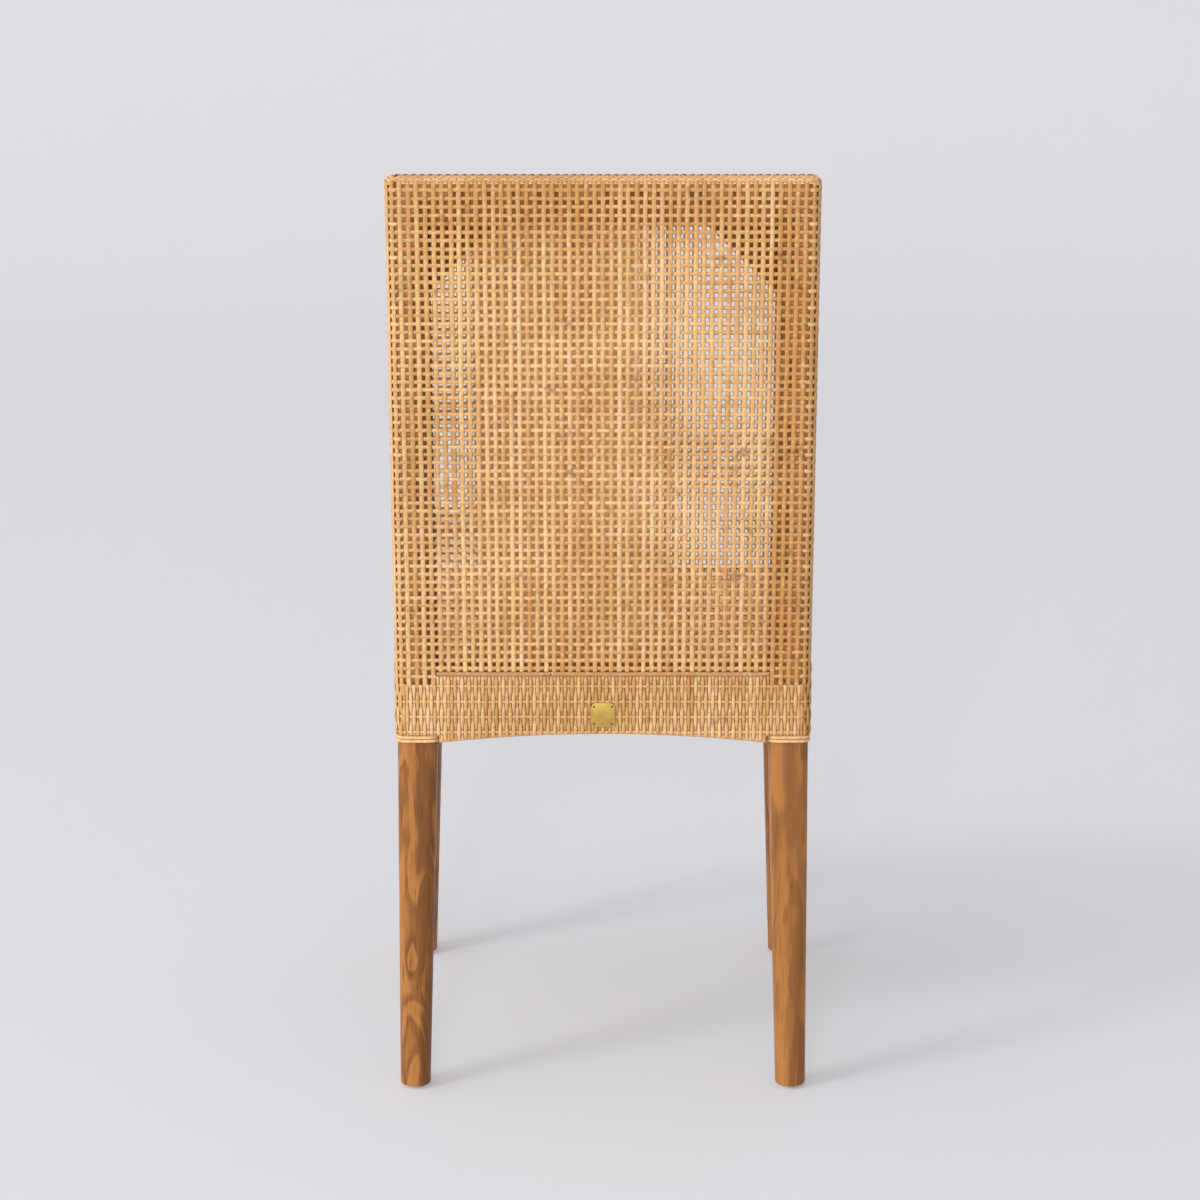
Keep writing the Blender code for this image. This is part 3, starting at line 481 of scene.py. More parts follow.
def turned_in(weave, columns, half, cane):
    """Ends of the front weave, close together where they turn in behind the seat."""
    section = flat(cane.strand_width, cane.strand_thickness / 2)
    height = steps(SEAT + TURN_IN_START, SEAT - TUCK, TURN_IN_STEP)
    for x in between(columns):
        weave.over(back_face(-1), x, height, TURN_IN_LIFT, section)
    x = steps(-half, half, STRAIGHT_STEP)
    for height in np.arange(SEAT - TUCK, SEAT, cane.row_pitch / 2):
        weave.over(back_face(-1), x, height, TAIL_LIFT, section)


# Close weave: height of a strand's middle above the wood, and how far it swings round the stakes
CLOSE_LIFT = 0.00170
CLOSE_SWING = 0.00122
CLOSE_WIDTH_SHARE, CLOSE_THICKNESS_SHARE = 0.91, 0.9
# Its strands differ in width, swell where they bulge, and show longer than they hide
CLOSE_SCALES = (0.96, 1.04)
SWELL = 0.19
SHOWN_LONGER = 0.2
BULGE_POWER = 0.7
POINTS_A_STAKE = 8
STAKE_WIDTH_SHARE, STAKE_THICKNESS_SHARE, STAKE_SIDES = 0.55, 1.1, 6
STAKE_STEP, STAKE_TONE = 0.012, 0.1


def close_weave(weave, face, columns, low_at, high_at, stakes, cane, tuck=True):
    """Strands side by side that go round hidden stakes, over and under in turn."""
    section = flat(cane.close_pitch * CLOSE_WIDTH_SHARE, cane.strand_thickness * CLOSE_THICKNESS_SHARE)
    for number, place in enumerate(columns):
        low, high = low_at(place), high_at(place)
        if high - low < cane.close_pitch:
            continue
        along = steps(high, low, cane.stake_pitch / POINTS_A_STAKE)
        wave = np.cos(pi * (phase_of_stakes(stakes, along) + number)) + SHOWN_LONGER
        wave = np.sign(wave) * np.abs(wave / (1.0 + SHOWN_LONGER)) ** BULGE_POWER
        lift = CLOSE_LIFT + CLOSE_SWING * wave
        if tuck:
            lift[-1] = 0.0
        drift = weave.stray(along, cane.wander / 2)
        scale = weave.random.uniform(*CLOSE_SCALES) * (1.0 + SWELL * wave)
        weave.over(face, place + drift, along, lift, section, scale=scale)


def phase_of_stakes(stakes, place):
    """Like phase_of, and carried on evenly beyond the first and the last stake."""
    pitch = (stakes[-1] - stakes[0]) / (len(stakes) - 1)
    return (place - stakes[0]) / pitch


def lay_stakes(weave, face, places, spans, cane, step=STAKE_STEP):
    """Stakes that show between the strands of a close weave."""
    section = rod(cane.strand_width * STAKE_WIDTH_SHARE, cane.strand_thickness * STAKE_THICKNESS_SHARE,
                  STAKE_SIDES)
    for place, (start, end) in zip(places, spans):
        along = steps(start, end, step)
        across = place + weave.stray(along, cane.wander)
        weave.over(face, along, across, CLOSE_LIFT, section, tone=STAKE_TONE)


# Two strands behind the lower ends: height above the edge, lift, width, thickness and tone
LOW_EDGE_STRANDS = ((0.0019, 0.0009, 0.0036, 0.0016, 0.9), (0.0054, 0.0001, 0.0094, 0.0006, 1.0))
LOW_EDGE_STEP = 0.01
COLLAR_SIDE_DEPTHS = (0.0034, 0.0070, 0.0106)


def close_low_edge(weave, face, low_at, ends, cane):
    """Strands behind the lower ends of a close weave, and short ones beside each collar."""
    along = steps(ends[0][0], ends[1][0], LOW_EDGE_STEP)
    for rise, lift, width, thickness, tone in LOW_EDGE_STRANDS:
        weave.over(face, along, low_at(along) + rise, lift, flat(width, thickness), tone=tone)
    for place, toward in ends:
        height = np.linspace(COLLAR_TOP, low_at(place), 3)
        points, normals = laid(face, place, height)
        side = unit(laid(face, place + toward * MARGIN, height)[0] - points)
        for depth in COLLAR_SIDE_DEPTHS:
            weave.strand(points - normals * depth, side, flat(cane.close_pitch, cane.strand_thickness))


def lower_edge(node, axis):
    """Height of the lower edge of an apron, read from the corners along it."""
    edge = sorted((co[axis], co.z) for co in vertices(node) if co.z < COLLAR_TOP + EDGE_RISE)
    places, heights = zip(*edge)
    return lambda place: np.interp(place, places, heights)


# Shader graphs

BLACK = (0.0, 0.0, 0.0, 1.0)
SOCKETS = {1: "NodeSocketFloat", 3: "NodeSocketVector", 4: "NodeSocketColor"}
SURFACE = {"Color": 4, "Roughness": 1, "Normal": 3}


def as_colour(rgb):
    return (*rgb, 1.0)


class Graph:
    """Adds nodes to a shader tree, and gives the outputs that later nodes take."""

    def __init__(self, tree):
        self.tree = tree

    def add(self, kind, inputs=None, **settings):
        """Adds a node, sets it, and joins or sets its inputs."""
        node = self.tree.nodes.new(kind)
        for key, value in settings.items():
            setattr(node, key, value)
        for key, value in (inputs or {}).items():
            if isinstance(value, NodeSocket):
                self.tree.links.new(value, node.inputs[key])
            else:
                node.inputs[key].default_value = value
        return node

    def math(self, operation, *values, clamp=False):
        node = self.add("ShaderNodeMath", dict(enumerate(values)), operation=operation, use_clamp=clamp)
        return node.outputs[0]

    def times(self, first, second, clamp=False):
        return self.math("MULTIPLY", first, second, clamp=clamp)

    def plus(self, first, second):
        return self.math("ADD", first, second)

    def larger(self, first, second):
        return self.math("MAXIMUM", first, second)

    def vector(self, operation, first, second):
        return self.add("ShaderNodeVectorMath", {0: first, 1: second}, operation=operation).outputs[0]

    def parts(self, vector):
        return self.add("ShaderNodeSeparateXYZ", {"Vector": vector}).outputs

    def joined(self, x, y, z):
        return self.add("ShaderNodeCombineXYZ", {"X": x, "Y": y, "Z": z}).outputs[0]

    def place(self, kind="Object"):
        return self.add("ShaderNodeTexCoord").outputs[kind]

    def mix(self, factor, first, second, blend="MIX"):
        inputs = {0: factor, 6: first, 7: second}
        return self.add("ShaderNodeMix", inputs, data_type="RGBA", blend_type=blend).outputs[2]

    def tinted(self, base, tint):
        return self.mix(1.0, base, as_colour(tint), "MULTIPLY")

    def noise(self, vector, scale, detail=3.0, roughness=0.55, distortion=0.0):
        inputs = {"Vector": vector, "Scale": scale, "Detail": detail, "Roughness": roughness,
                  "Distortion": distortion}
        return self.add("ShaderNodeTexNoise", inputs).outputs["Fac"]

    def ramp(self, value, low, high, most=None):
        """Zero below low, one above high and smooth between, or up to most in place of one."""
        inputs = {"Value": value, "From Min": low, "From Max": high}
        share = self.add("ShaderNodeMapRange", inputs, interpolation_type="SMOOTHSTEP").outputs[0]
        return share if most is None else self.times(share, most)

    def bump(self, height, strength, distance):
        inputs = {"Strength": strength, "Distance": distance, "Height": height}
        return self.add("ShaderNodeBump", inputs).outputs[0]


def shared_group(name, inputs, outputs, fill):
    """A shader group with named sockets, built when it is first asked for."""
    if name in bpy.data.node_groups:
        return bpy.data.node_groups[name]
    tree = bpy.data.node_groups.new(name, "ShaderNodeTree")
    for label, default in inputs.items():
        kind = SOCKETS[len(default) if isinstance(default, tuple) else 1]
        tree.interface.new_socket(label, in_out="INPUT", socket_type=kind).default_value = default
    for label, size in outputs.items():
        tree.interface.new_socket(label, in_out="OUTPUT", socket_type=SOCKETS[size])
    graph = Graph(tree)
    graph.add("NodeGroupOutput", fill(graph, graph.add("NodeGroupInput").outputs))
    return tree


CANE_INPUTS = {"Pale": (1.0, 1.0, 1.0, 1.0), "Deep": (0.5, 0.4, 0.3, 1.0), "Stain And Shade": (0.2, 0.1, 0.05, 1.0),
               "Variety": 1.0, "Flecks": 0.5, "Darker Edges": 0.0}


def fill_cane(graph, given):
    """Colour, roughness and grain of split cane, by strand, with painted shade on strand edges and folded
    ends, a painted sheen and a painted inner glow.
    """
    mark = graph.add("ShaderNodeAttribute", attribute_name="strand").outputs["Vector"]
    part = graph.parts(mark)
    place = graph.place()
    tone = graph.times(part["Z"], 61.0)
    fibre_place = graph.joined(graph.times(part["X"], 2.6), graph.times(part["Y"], 26.0), tone)
    slow_place = graph.joined(0.0, graph.times(part["Y"], 14.0), tone)
    fibre = graph.noise(fibre_place, 2.2, 4.0, 0.65)
    slow = graph.noise(slow_place, 1.0, 2.0)
    patch = graph.noise(place, 9.0, 3.0)
    shade = graph.plus(graph.times(part["Z"], 0.40), graph.times(slow, 0.65))
    shade = graph.plus(shade, graph.times(graph.math("SUBTRACT", patch, 0.5), 0.9))
    where = graph.parts(place)
    # Darker towards the stile on the sitter's right, a little on the left stile and along the top band,
    # scaled by the input for edges.
    near = graph.ramp(where["X"], 0.170, 0.200, 0.20)
    above = graph.ramp(where["Z"], 0.950, 0.985, 0.48)
    stiles_and_top = graph.larger(graph.ramp(where["X"], -0.166, -0.192), graph.larger(near, above))
    darker_edges = graph.times(stiles_and_top, given["Darker Edges"])
    shade = graph.plus(shade, graph.times(darker_edges, 0.45))
    shade = graph.times(graph.ramp(shade, 0.18, 1.0), given["Variety"], clamp=True)
    base = graph.mix(shade, given["Pale"], given["Deep"])
    base = graph.mix(graph.times(darker_edges, 0.40), base, given["Deep"])
    hue = graph.times(graph.math("FRACT", graph.times(part["Z"], 17.3)), 0.5)
    base = graph.mix(hue, base, graph.tinted(base, (0.93, 1.0, 0.76)))
    base = graph.mix(graph.ramp(fibre, 0.50, 0.78, 0.45), base, given["Deep"])
    mottle = graph.noise(place, 260.0, 3.0, 0.7)
    base = graph.mix(graph.ramp(mottle, 0.50, 0.68, 0.55), base, given["Deep"])
    # Painted sheen: paler, less saturated patches where the mottle is low, standing in for highlights on the
    # cane.
    painted_sheen = graph.mix(0.5, base, (1.0, 0.77, 0.47, 1.0))
    base = graph.mix(graph.ramp(mottle, 0.48, 0.32, 0.7), base, painted_sheen)
    # Painted shade: the edges of every strand darken towards the stain colour, for the shade in the gaps
    # between strands.
    edge = graph.times(graph.ramp(graph.math("ABSOLUTE", part["X"]), 0.6, 1.0), 0.40)
    # Painted shade: strands whose tone is above 1, the folded ends seen through the holes, darken towards the
    # stain colour for the shade in the holes.
    hidden_shade = graph.ramp(part["Z"], 1.0, 1.6, 0.95)
    base = graph.mix(graph.larger(edge, hidden_shade), base, given["Stain And Shade"])
    fleck = graph.ramp(graph.noise(slow_place, 3.1, 5.0, 0.7), 0.66, 0.78)
    dirt = graph.ramp(graph.noise(place, 46.0, 4.0), 0.60, 0.76)
    fleck = graph.times(graph.larger(fleck, dirt), given["Flecks"], clamp=True)
    final = graph.mix(fleck, base, given["Stain And Shade"])
    bump = graph.bump(fibre, 0.25, 0.0004)
    rough = graph.plus(0.32, graph.times(fibre, 0.22))
    # Painted glow: faces that look towards +Y give a colour that a material may use for a weak emission.
    facing = graph.add("ShaderNodeNewGeometry").outputs["Normal"]
    inward = graph.ramp(graph.parts(facing)["Y"], 0.1, 0.8)
    painted_glow = graph.mix(inward, BLACK, final)
    return {"Color": final, "Roughness": rough, "Normal": bump, "Inner Glow": painted_glow}


WOOD_INPUTS = {"Light": (0.5, 0.3, 0.1, 1.0), "Dark": (0.2, 0.1, 0.05, 1.0), "Heart": (0.0, 0.0, 0.0),
               "Ring Scale": 1.0, "Figure": 1.0, "Depth": 0.5, "Shade Band": 9.0}
# How far the loops and the streaks of the wood are drawn out up the leg
LOOP_STRETCH = (1.0, 1.0, 0.22)
STREAK_STRETCH = (1.0, 1.0, 0.045)


def fill_wood(graph, given):
    """Figured wood whose rings run up the leg, from places set off from its heart, with a band of painted
    shade where the band's place falls on the part.
    """
    place = graph.place()
    place = graph.vector("SUBTRACT", place, given["Heart"])
    slow = graph.vector("MULTIPLY", place, LOOP_STRETCH)
    sway = graph.add("ShaderNodeTexNoise", {"Vector": slow, "Scale": 16.0, "Detail": 2.0}).outputs["Color"]
    sway = graph.vector("SUBTRACT", sway, (0.5, 0.5, 0.5))
    sway = graph.add("ShaderNodeVectorMath", {0: sway, "Scale": graph.times(given["Figure"], 0.045)},
                     operation="SCALE").outputs[0]
    ringed = graph.vector("ADD", slow, sway)
    part = graph.parts(ringed)
    radius = graph.math("SQRT", graph.plus(graph.times(part["X"], part["X"]),
                                           graph.times(part["Y"], part["Y"])))
    loops = graph.times(graph.noise(slow, 34.0, 1.5, 0.5, 0.5), graph.times(given["Figure"], 7.0))
    ring = graph.math("FRACT", graph.plus(graph.times(radius, given["Ring Scale"]), loops))
    late = graph.math("SUBTRACT", 1.0, graph.ramp(ring, 0.80, 1.0))
    ring = graph.times(graph.ramp(ring, 0.05, 0.80), late)
    streak_place = graph.vector("MULTIPLY", place, STREAK_STRETCH)
    streak = graph.noise(streak_place, 420.0, 4.0, 0.6)
    broad = graph.noise(streak_place, 70.0, 3.0)
    patch = graph.noise(slow, 52.0, 3.0, 0.55, 1.4)
    amount = graph.plus(graph.times(ring, 0.40), graph.times(broad, 0.38))
    amount = graph.plus(amount, graph.times(patch, 0.48))
    amount = graph.plus(amount, graph.times(streak, 0.34))
    # Painted shade: darker near the band's x, on the leg's side away from the light, broken up by the broad
    # grain.
    across = graph.parts(graph.place())["X"]
    off = graph.math("ABSOLUTE", graph.math("SUBTRACT", across, given["Shade Band"]))
    band = graph.times(graph.ramp(off, 0.017, 0.003), graph.times(broad, 0.6))
    amount = graph.plus(amount, band)
    amount = graph.times(graph.ramp(amount, 0.52, 1.18), given["Depth"], clamp=True)
    base = graph.mix(amount, given["Light"], given["Dark"])
    pore = graph.ramp(streak, 0.56, 0.72)
    base = graph.mix(graph.times(pore, 0.42), base, given["Dark"])
    bump = graph.bump(streak, 0.2, 0.0003)
    rough = graph.plus(0.40, graph.times(pore, 0.2))
    return {"Color": base, "Roughness": rough, "Normal": bump}


WORN_INPUTS = {"Base": (0.5, 0.5, 0.5, 1.0), "Marks": 0.3, "Rough": 0.4, "Grain": (400.0, 400.0, 400.0)}


def fill_worn(graph, given):
    """Fine marks on metal and plastic."""
    place = graph.place()
    fine = graph.vector("MULTIPLY", place, given["Grain"])
    line = graph.noise(fine, 1.0, 3.0, 0.6)
    cloud = graph.noise(place, 150.0, 3.0)
    dark = graph.tinted(given["Base"], (0.55, 0.50, 0.42))
    marks = graph.plus(graph.ramp(cloud, 0.45, 0.75), graph.ramp(line, 0.5, 0.8))
    amount = graph.times(marks, given["Marks"], clamp=True)
    base = graph.mix(amount, given["Base"], dark)
    rough = graph.plus(given["Rough"], graph.times(line, 0.15))
    bump = graph.bump(line, 0.15, 0.0001)
    return {"Color": base, "Roughness": rough, "Normal": bump}


# Materials

# A place of the painted shade band that is off every leg
NO_SHADE_BAND = 9.0


def grouped_material(name, group, values, metallic=0.0, specular=0.5):
    """A material whose colour, roughness and normal come from a group with its own values."""
    if name in bpy.data.materials:
        return bpy.data.materials[name]
    material = bpy.data.materials.new(name)
    material.use_nodes = True
    tree = material.node_tree
    shader = tree.nodes["Principled BSDF"]
    shader.inputs["Metallic"].default_value = metallic
    shader.inputs["Specular IOR Level"].default_value = specular
    effect = Graph(tree).add("ShaderNodeGroup", node_tree=group)
    for key, value in values.items():
        effect.inputs[key].default_value = value
    for output, socket in (("Color", "Base Color"), ("Roughness", "Roughness"), ("Normal", "Normal")):
        tree.links.new(effect.outputs[output], shader.inputs[socket])
    return material


def cane_material(cane, name="woven_cane", variety=1.0, flecks=0.55, pale=None, darker_edges=0.0):
    group = shared_group("cane_fibre", CANE_INPUTS, {**SURFACE, "Inner Glow": 4}, fill_cane)
    values = {"Pale": as_colour(pale or cane.pale), "Deep": as_colour(cane.deep),
              "Stain And Shade": as_colour(cane.stain_and_shade), "Variety": variety, "Flecks": flecks, "Darker Edges": darker_edges}
    return grouped_material(name, group, values, specular=0.18)


def edge_material(cane):
    return cane_material(cane, "edge_cane", variety=0.75, flecks=0.35)


def add_painted_glow(material, amount):
    """A weak painted glow (emission) on the inner side, standing in for thin cane lit from the far side."""
    tree = material.node_tree
    shader = tree.nodes["Principled BSDF"]
    effect = next(node for node in tree.nodes if node.type == "GROUP")
    shader.inputs["Emission Strength"].default_value = amount
    tree.links.new(effect.outputs["Inner Glow"], shader.inputs["Emission Color"])


def wood_material(name, light, dark, heart, ring_scale, figure, depth, band=NO_SHADE_BAND):
    group = shared_group("figured_wood", WOOD_INPUTS, SURFACE, fill_wood)
    values = {"Light": as_colour(light), "Dark": as_colour(dark), "Heart": heart, "Ring Scale": ring_scale,
              "Figure": figure, "Depth": depth, "Shade Band": band}
    return grouped_material(name, group, values, specular=0.2)


def worn_material(name, base, marks, rough, grain, metallic=0.0):
    group = shared_group("worn_surface", WORN_INPUTS, SURFACE, fill_worn)
    values = {"Base": as_colour(base), "Marks": marks, "Rough": rough, "Grain": grain}
    return grouped_material(name, group, values, metallic=metallic)


def bronze_material(trim):
    return worn_material("bronze_finish", trim.bronze, 0.3, 0.45, (400.0, 400.0, 400.0), 1.0)


def finish_nodes(material, *nodes):
    """Gives nodes of the frame a finished material in place of their plain one."""
    for node in nodes:
        for slot in frame["nodes"][node].material_slots:
            slot.material = material


# Lines of the open weave

UPRIGHTS = 49
WEAVE_TOP = TOP - 0.0055
FIRST_ROW = TOP - 0.0140
EDGE_COVER = CORNER - 0.0006
FIRST_STAKE = SEAT - 0.0231
APRON_STAKES = 4
# How much lower the front's rows lie than the rear's, at the seat and at the top
FRONT_DROP = (0.0126, 0.0043)
# Heights, and how far the front's cross strands climb there towards the left and the right
LEFT_CLIMB = ((0.592, 0.617, 0.632, 0.647, 0.659, 0.68, 0.73, 0.76, 0.86, 0.90),
              (0.0072, 0.0063, 0.0052, 0.0043, 0.0026, 0.0010, 0.0010, 0.0040, 0.0040, 0.0022))
RIGHT_CLIMB = ((0.60, 0.64, 0.665, 0.69, 0.735, 0.765, 0.80, 0.90),
               (0.0012, 0.0002, 0.0012, 0.0034, 0.0034, 0.0008, 0.0006, 0.0004))
# Heights, and the share by which the front's strands are wider there on the right
RIGHT_WIDENING = ((0.70, 0.74, 0.80, 0.95), (0.08, 0.08, -0.09, -0.09))
# Places across, and how far the front's uprights are shifted there, as a share of their pitch
CROWDING = ((-0.175, -0.160, -0.125, -0.090, -0.060, -0.030, 0.0, 0.050, 0.125, 0.150, 0.165),
            (0.25, 0.14, 0.03, 0.26, 0.34, 0.43, 0.46, 0.50, 0.42, 0.08, 0.0))
FRONT_STRETCH = 1.011


def apron_stakes(cane):
    """Heights of the stakes that run round the seat."""
    return FIRST_STAKE - cane.stake_pitch * np.arange(APRON_STAKES)


def weave_rows(cane):
    """Heights of the cross strands on the rear, from the top down to beside the battens."""
    return FIRST_ROW - cane.row_pitch * np.arange(round((FIRST_ROW - BATTEN_LOW) / cane.row_pitch) + 1)


def weave_bottom(cane):
    """Height where the open weave on the posts gives way to the close weave."""
    return apron_stakes(cane)[0] - MARGIN


def front_rows(cane):
    """Heights on the front, set lower so that the holes of both faces line up from behind."""
    rows = weave_rows(cane)
    shifted = rows - np.interp(rows, [SEAT, TOP], FRONT_DROP)
    above = rows[0] + cane.row_pitch * np.arange(1, -1, -1)
    ladder = np.concatenate([above[above > shifted[0] + cane.row_pitch / 2], shifted])
    return ladder[(ladder > SEAT - TUCK - 0.007) & (ladder < rows[0] + 0.003)]


def front_sag(x, height):
    """How far the cross strands of the front climb, towards the sitter's left and right."""
    left = np.interp(height, *LEFT_CLIMB) * np.clip(0.5 + x / 0.24, 0.0, 1.0)
    return left + np.interp(height, *RIGHT_CLIMB) * np.clip(-x / 0.05, 0.0, 1.0)


def front_width(x, height):
    """Share of their width that the strands of the front keep, least high on the sitter's right."""
    return 1.0 + np.interp(height, *RIGHT_WIDENING) * np.clip(-x / 0.08, 0.0, 1.0)


def front_columns(columns, cane):
    """Uprights of the front, which crowd to one side and so close the holes there."""
    return columns * FRONT_STRETCH + cane.column_pitch * np.interp(columns, *CROWDING)


def weave_rear(cane, columns, edge):
    """The rear of the back, which ends on the battens and, beside them, on the close weave."""
    rows = weave_rows(cane)
    opening = OPENING_HALF + MARGIN

    def span_of(x):
        return (BATTEN_TOP + HAIR if abs(x) < opening else weave_bottom(cane), WEAVE_TOP)

    def runs_of(z):
        return [(-edge, edge)] if z > BATTEN_TOP + 2 * MARGIN else [(-edge, -opening), (opening, edge)]

    weave, face = Weave(cane.seed), back_face(1)
    open_uprights(weave, face, columns, rows, span_of, cane)
    open_crosses(weave, face, columns, rows, runs_of, cane)
    tails(weave, face, columns, np.append(rows, rows[-1] - cane.row_pitch), edge, WEAVE_TOP, cane)
    weave.piece("rear_back_weave", cane_material(cane, "rear_cane", darker_edges=1.0), "cane", "cane_back_rear")


def weave_front(cane, columns, edge):
    """The front of the back, which turns in behind the seat."""
    rows = weave_rows(cane)
    lines = front_rows(cane)
    posts = front_columns(columns, cane)
    posts = posts[np.abs(posts) < edge - 2 * MARGIN]
    inner = OPENING_HALF - SKIN

    def span_of(x):
        return (SEAT - TUCK if abs(x) < inner else SEAT, WEAVE_TOP)

    def runs_of(z):
        return [(-edge, edge)] if z > SEAT else [(-inner, inner)]

    weave, face = Weave(cane.seed + 1), back_face(-1)
    open_uprights(weave, face, posts, lines, span_of, cane, front_width)
    open_crosses(weave, face, posts, lines, runs_of, cane, front_sag, front_width)
    turned_in(weave, posts[np.abs(posts) < inner], inner, cane)
    tails(weave, face, columns, rows[rows > SEAT + 0.01], edge, WEAVE_TOP, cane)
    # A paler copy of the cane with a weak emission: painted light on the front layer seen through the rear's
    # holes.
    material = cane_material(cane, "inner_lit_cane", variety=0.8, pale=cane.inner)
    add_painted_glow(material, 0.125)
    weave.piece("front_back_weave", material, "cane", "cane_back_front")


class CHAIR_OT_back_weave(Operator):
    """Weaves the open cane over the rear and the front of the back"""
    bl_idname = "chair.back_weave"
    bl_label = "Back weave"

    def execute(self, context):
        cane = context.scene.chair_cane
        columns = centred(UPRIGHTS, cane.column_pitch)
        edge = HALF_BACK - EDGE_COVER
        weave_rear(cane, columns, edge)
        weave_front(cane, columns, edge)
        return {"FINISHED"}


# Places of the uprights round a side of the back, as shares that back_wrap takes. Those with the
# numbers of SIDE_COLUMNS stand on the side, and the others belong to the rear, the front and corners.
WRAP_COLUMNS = np.array([-1.22, -0.752, -0.367, 0.02, 0.50, 0.98, 1.36, 1.752])
SIDE_COLUMNS = range(3, 7)


def wrapped_row(weave, side, height, number, share, cane):
    """A cross strand carried round the rear corner of the back and along its side."""
    section = flat(cane.strand_width * FOLDED_SHARE, cane.strand_thickness)
    wave = np.cos(pi * (np.interp(share, WRAP_COLUMNS, range(len(WRAP_COLUMNS))) + number))
    weave.over(back_wrap(side), share, height, PLAIN_LIFT - SWING * wave, section)


class CHAIR_OT_side_weave(Operator):
    """Carries the open weave round the sides of the back"""
    bl_idname = "chair.side_weave"
    bl_label = "Side weave"

    def execute(self, context):
        cane = context.scene.chair_cane
        rows = weave_rows(cane)
        rows = rows[rows > SEAT + RIM_COVER]
        section = flat(cane.strand_width, cane.strand_thickness)
        height = steps(WEAVE_TOP, SEAT + 0.0008, cane.row_pitch / POINTS_A_PITCH)
        for label, side in SIDES:
            weave = Weave(cane.seed + 2)
            for number in SIDE_COLUMNS:
                lift = PLAIN_LIFT + SWING * swing_over(rows, height, number)
                weave.over(back_wrap(side), WRAP_COLUMNS[number], height, lift, section)
            for number, z in enumerate(rows):
                wrapped_row(weave, side, z, number, np.linspace(-1.0, 1.64, 35), cane)
            weave.piece(f"side_back_weave_{label}", cane_material(cane), "cane", f"cane_side_band_{label}")
        return {"FINISHED"}


# Round an upright corner, as turns away from the way that it faces: the close strands, the upright
# strand and the narrow strip beside it, and the flat strand of the front
STITCH, STITCHES = radians(18), 5
EDGE_TURN = radians(22.3)
STRIP_TURN, STRIP_WIDTH, STRIP_RISE, STRIP_TONE = radians(57), 0.0056, 0.0006, 0.15
FRONT_EDGE_TURN, EDGE_THICKNESS, EDGE_STEP, EDGE_TONE = radians(20), 0.0018, 0.010, 0.5
TURN_WANDER = 0.02


def corner_weave(weave, face, high, cane):
    """The close weave carried round a corner, with its stakes."""
    stakes = apron_stakes(cane)
    turns = STITCH * (0.5 + np.arange(STITCHES)) + (pi / 2 - STITCHES * STITCH) / 2
    close_weave(weave, face, turns, lambda turn: COLLAR_TOP + HAIR, lambda turn: high, stakes, cane)
    lay_stakes(weave, face, stakes, [(0.0, pi / 2)] * len(stakes), cane, step=0.3)


def rear_corner(weave, side, cane):
    """Strands up a rear corner of the back, the rows that pass it low down, and the close weave."""
    face = corner_face(side, 1.0, HALF_BACK, rear_at)
    rows = weave_rows(cane)
    low = weave_bottom(cane) + RIM_COVER
    height = steps(WEAVE_TOP, low - 2 * MARGIN, cane.row_pitch / POINTS_A_PITCH)
    lift = PLAIN_LIFT + UPRIGHT_BIAS + SWING * swing_over(rows, height, 1)
    weave.over(face, EDGE_TURN + weave.stray(height, TURN_WANDER), height, lift,
               flat(cane.strand_width, cane.strand_thickness))
    weave.over(face, STRIP_TURN + weave.stray(height, TURN_WANDER), height, PLAIN_LIFT + STRIP_RISE,
               flat(STRIP_WIDTH, cane.strand_thickness), tone=STRIP_TONE)
    for number, z in enumerate(rows):
        if low - RIM_COVER < z < SEAT + RIM_COVER:
            wrapped_row(weave, side, z, number, np.linspace(-1.0, -0.05, 12), cane)
    corner_weave(weave, face, low, cane)


def front_corner(weave, side, cane):
    """The flat strand up a front corner of the back."""
    height = steps(SEAT, WEAVE_TOP + MARGIN, EDGE_STEP)
    weave.over(corner_face(side, -1.0, HALF_BACK, front_at),
               FRONT_EDGE_TURN + weave.stray(height, TURN_WANDER), height, SKIN - 0.0003,
               bowed(cane.edge_width, CORNER, EDGE_THICKNESS), tone=EDGE_TONE)


def seat_corner(weave, side, cane):
    """The close weave round a front corner of the seat."""
    corner_weave(weave, corner_face(side, -1.0, HALF_SEAT, lambda height: FRONT), SEAT - RIM_COVER, cane)


class CHAIR_OT_edge_strands(Operator):
    """Lays the flat strands along the upright corners, and the close weave round them below"""
    bl_idname = "chair.edge_strands"
    bl_label = "Edge strands"

    def execute(self, context):
        cane = context.scene.chair_cane
        darker_edges = cane_material(cane, "rear_edge_cane", variety=0.85, flecks=0.45, darker_edges=1.0)
        corners = (
            (rear_corner, "edge_strand_rear", darker_edges, "cane", "corner_strand_rear"),
            (front_corner, "edge_strand_front", edge_material(cane), "pale_cane", "corner_strand_front"),
            (seat_corner, "seat_corner_weave", cane_material(cane), "pale_cane", "corner_strand_seat"),
        )
        for label, side in SIDES:
            for lay, name, material, slot, node in corners:
                weave = Weave(cane.seed + 3)
                lay(weave, side, cane)
                weave.piece(f"{name}_{label}", material, slot, f"{node}_{label}")
        return {"FINISHED"}


# The cap: turns of its strands on the rounded ends, where they start on the rear, and their size
CAP_TURNS, CAP_START = (18, 38, 57, 74, 86), radians(25)
CAP_SINK, CAP_WIDTH = 0.0008, 0.0046
# The plait: turn of its middle, half its width, its rise and sink, and the size of its strands
PLAIT_TURN = radians(56)
PLAIT_REACH, PLAIT_RISE, PLAIT_SINK = 0.0027, 0.0008, 0.0002
PLAIT_WIDTH, PLAIT_THICKNESS = 0.0031, 0.0012
UNDER_PLAIT_LIFT, UNDER_PLAIT_TONE = -0.0014, 0.9
PITCHES_A_PLAIT, POINTS_A_PLAIT = 3, 20


